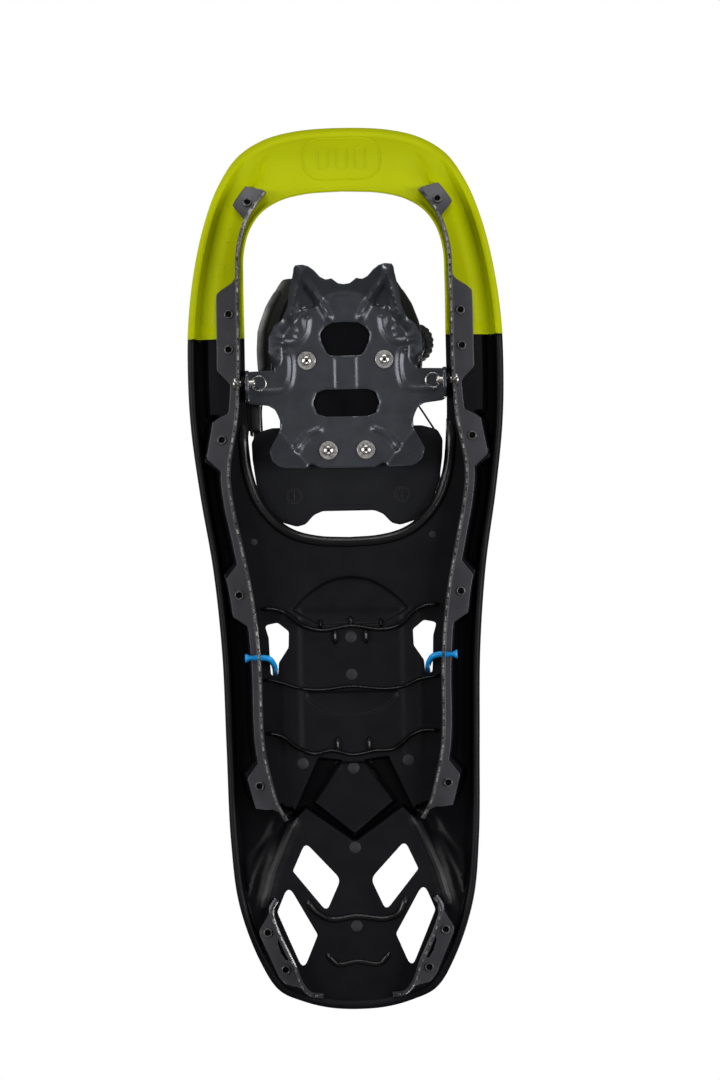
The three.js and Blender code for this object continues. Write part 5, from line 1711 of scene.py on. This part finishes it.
def strap_band(route, section, step, end_round):
    """A moulded band on edge along a route; its section is across, up, in millimetres."""
    line = spaced(curve_through(route), step)
    side = right_of(line)
    rings = []
    for i, point in enumerate(line):
        end = min(i, len(line) - 1 - i) * step
        fade = math.sqrt(max(0.02, 1 - (1 - min(1.0, end / end_round)) ** 2))
        rings.append(
            [
                (point[0] + side[i][0] * a, point[1] + side[i][1] * a, point[2] + up * fade)
                for a, up in section
            ]
        )
    return loft(rings), line, side


def make_heel_strap():
    section = [
        (-1.3, -8.2), (-0.8, -9), (0.8, -9), (1.3, -8.2), (1.3, -6.4), (0.8, -5.8), (0.8, 5.8),
        (1.3, 6.4), (1.3, 8.2), (0.8, 9), (-0.8, 9), (-1.3, 8.2)
    ]
    mesh, line, side = strap_band(STRAP_ROUTE, section, 2.0, 9.0)
    for i in range(34, len(line) - 30, 3):
        point = line[i]
        rib = [
            (point[0] + side[i][0] * 1.1, point[1] + side[i][1] * 1.1, point[2] + up)
            for up in np.linspace(-4.2, 4.2, 6)
        ]
        if i < 52:
            mesh.join(tube(rib, 0.5, 6))
    piece("heel_strap_band", mesh, [STRAP], "binding", ["heel_strap"], 40)
    crown = [(-2.6, -7.6), (-2.1, -11.4), (-0.6, -13.2), (0.6, -12.2), (1.4, -8.6), (1.9, -3), (1.9, 3),
             (1.4, 8.6), (0.6, 12.2), (-0.6, 13.2), (-2.1, 11.4), (-2.6, 7.6)]
    pad_mesh, _, _ = strap_band(PAD_ROUTE, crown, 2.0, 12.0)
    pad = piece("heel_pad_foam", pad_mesh, [KNIT], "binding", ["heel_pad"], 75)
    swell(pad, 1.6, 0.7)


def standing_plate(points, low, high, edge, sign=1):
    """A plate in the Y, Z plane between two X values."""
    flat = plate_prism(points, low, high, edge)
    verts = np.concatenate(flat.verts)[:, [2, 0, 1]] * (sign, 1, 1)
    return faced_out(Mesh().add(verts, flat.faces))


def make_strap_arms():
    for side, sign in SIDES.items():
        inner = 57.0 if sign > 0 else 61.5
        corners = [(44, 40.8), (88, 40.8), (92, 50), (86, 66), (62, 74), (52, 70), (46, 52)]
        points = rounded_loop(corners, 5, 1.6)
        mesh = standing_plate(points, inner, inner + 3, 0.8, sign)
        piece(
            f"strap_arm_{side}_moulding", mesh, [BINDING], "binding",
            [f"strap_arm_{side}"], 40
        )


def make_buckle():
    body = Mesh()
    shell = rounded_loop([(91, 43), (116, 43), (116, 69), (91, 69)], 4, 1.2)
    body.join(standing_plate(shell, 60.4, 62.0, 0.6))
    body.join(standing_plate(shell, 66.0, 67.5, 0.5))
    for low, high in [(43.0, 45.4), (66.9, 69.0)]:
        rail = rounded_loop([(60.5, 91.6), (73.2, 97), (73.2, 115.4), (60.5, 115.4)], 2.2, 1.2)
        body.join(plate_prism(rail, low, high, 0.7))
    piece("buckle_body_moulding", body, [TRIM], "binding", ["buckle_body"], 40)
    outline = [
        (68.6, 112.5), (68.6, 97), (70.4, 82), (71.8, 81), (73.0, 82), (73.4, 98), (73.4, 112.5),
        (71, 113.9)
    ]
    lever = plate_prism(rounded_loop(outline, 1.2, 0.9), 45.8, 66.2, 0.8)
    for y in (84.5, 87.0, 89.5):
        grip = [(73.0 + 0.03 * (y - 84), y, z) for z in np.linspace(49, 63, 6)]
        lever.join(tube(grip, 0.5, 6))
    piece("buckle_lever_moulding", lever, [TRIM], "buckle_lever", ["buckle_lever"], 40)
    pin = [(0, 43), (1.0, 43), (1.2, 43.3), (1.2, 68.7), (1.0, 69), (0, 69)]
    piece(
        "buckle_pin_turned", turned(pin, (71, 111.5, 0), sides=24), [PLATED], "binding",
        ["buckle_pin"], 40
    )


make_nose_shell()
make_rear_deck()
for rail_side, rail_sign in SIDES.items():
    make_side_rail(rail_side, rail_sign)
    make_tail_rail(rail_side, rail_sign)
make_rivets()
make_crampon()
make_fasteners()
make_pivot_hardware()
make_bail()
make_plates()
make_wings()
make_instep_pad()
make_lace()
make_guides()
make_dial()
make_heel_strap()
make_strap_arms()
make_buckle()

# ---------------------------------------------------------------- floor, light and camera

scene = bpy.context.scene
scene.view_settings.view_transform = "Standard"


def make_floor():
    """A pale ground that shows and takes shadow from above, and is clear from below."""
    data = bpy.data.meshes.new("floor")
    reach = 2.4
    data.from_pydata(
        [(-reach, -reach, 0), (reach, -reach, 0), (reach, reach, 0), (-reach, reach, 0)], [],
        [(0, 1, 2, 3)]
    )
    floor = bpy.data.objects.new("floor", data)
    scene.collection.objects.link(floor)
    material, nodes, links, shader = new_material("floor_paper")
    shader.inputs["Base Color"].default_value = (0.82, 0.82, 0.82, 1)
    shader.inputs["Roughness"].default_value = 0.9
    clear = nodes.new("ShaderNodeBsdfTransparent")
    side = nodes.new("ShaderNodeNewGeometry")
    mix = nodes.new("ShaderNodeMixShader")
    links.new(side.outputs["Backfacing"], mix.inputs["Fac"])
    links.new(shader.outputs["BSDF"], mix.inputs[1])
    links.new(clear.outputs["BSDF"], mix.inputs[2])
    links.new(mix.outputs["Shader"], nodes["Material Output"].inputs["Surface"])
    data.materials.append(material)
    floor.visible_shadow = False
    floor.visible_diffuse = False
    floor.visible_glossy = False


def make_light(name, place, target, size, power):
    data = bpy.data.lights.new(name, "AREA")
    data.shape = "RECTANGLE"
    data.size, data.size_y = size
    data.energy = power
    lamp = bpy.data.objects.new(name, data)
    lamp.location = place
    lamp.rotation_euler = (Vector(target) - Vector(place)).to_track_quat("-Z", "Y").to_euler()
    scene.collection.objects.link(lamp)
    return lamp


def make_world():
    world = bpy.data.worlds.new("white_room")
    world.use_nodes = True
    nodes, links = world.node_tree.nodes, world.node_tree.links
    background = nodes["Background"]
    background.inputs["Color"].default_value = (1, 1, 1, 1)
    seen = nodes.new("ShaderNodeBackground")
    seen.inputs["Color"].default_value = (1, 1, 1, 1)
    seen.inputs["Strength"].default_value = 1.0
    background.inputs["Strength"].default_value = 0.12
    path = nodes.new("ShaderNodeLightPath")
    mix = nodes.new("ShaderNodeMixShader")
    links.new(path.outputs["Is Camera Ray"], mix.inputs["Fac"])
    links.new(background.outputs["Background"], mix.inputs[1])
    links.new(seen.outputs["Background"], mix.inputs[2])
    links.new(mix.outputs["Shader"], nodes["World Output"].inputs["Surface"])
    scene.world = world


def make_camera():
    """A long lens straight below the shoe, its toe to the top of the picture."""
    data = bpy.data.cameras.new("camera")
    data.sensor_fit = "VERTICAL"
    data.sensor_height = 36.0
    distance = 2.6
    frame_height = 0.7488
    data.lens = 36.0 * distance / frame_height
    data.clip_end = 20
    camera = bpy.data.objects.new("camera", data)
    roll = math.radians(1.15)
    forward = Vector((0, 0, 1))
    up = Vector((-math.sin(roll), math.cos(roll), 0))
    right = forward.cross(up)
    camera.matrix_world = [
        [right.x, up.x, -forward.x, 0], [right.y, up.y, -forward.y, 0], [right.z, up.z, -forward.z, 0],
        [0, 0, 0, 1]
    ]
    camera.location = (-0.0076, 0.0170, -distance + 0.03)
    scene.collection.objects.link(camera)
    scene.camera = camera


make_floor()
make_world()
make_camera()
make_light("left_below", (1.6, 0.15, -1.3), (0, 0, 0.02), (0.8, 1.9), 26)
make_light("right_below", (-1.6, 0.0, -1.3), (0, 0, 0.02), (0.8, 1.9), 32)
make_light("toe_below", (0.1, 1.9, -1.2), (0, 0.1, 0.02), (1.5, 0.5), 12)
make_light("toe_low", (0.0, 2.0, -0.12), (0, 0, 0.02), (1.8, 0.3), 7)
make_light("top_soft", (-0.7, -0.9, 2.0), (0, 0, 0), (1.6, 1.6), 40)
make_light("top_side", (1.5, 0.7, 1.2), (0, 0, 0.05), (0.8, 1.6), 18)
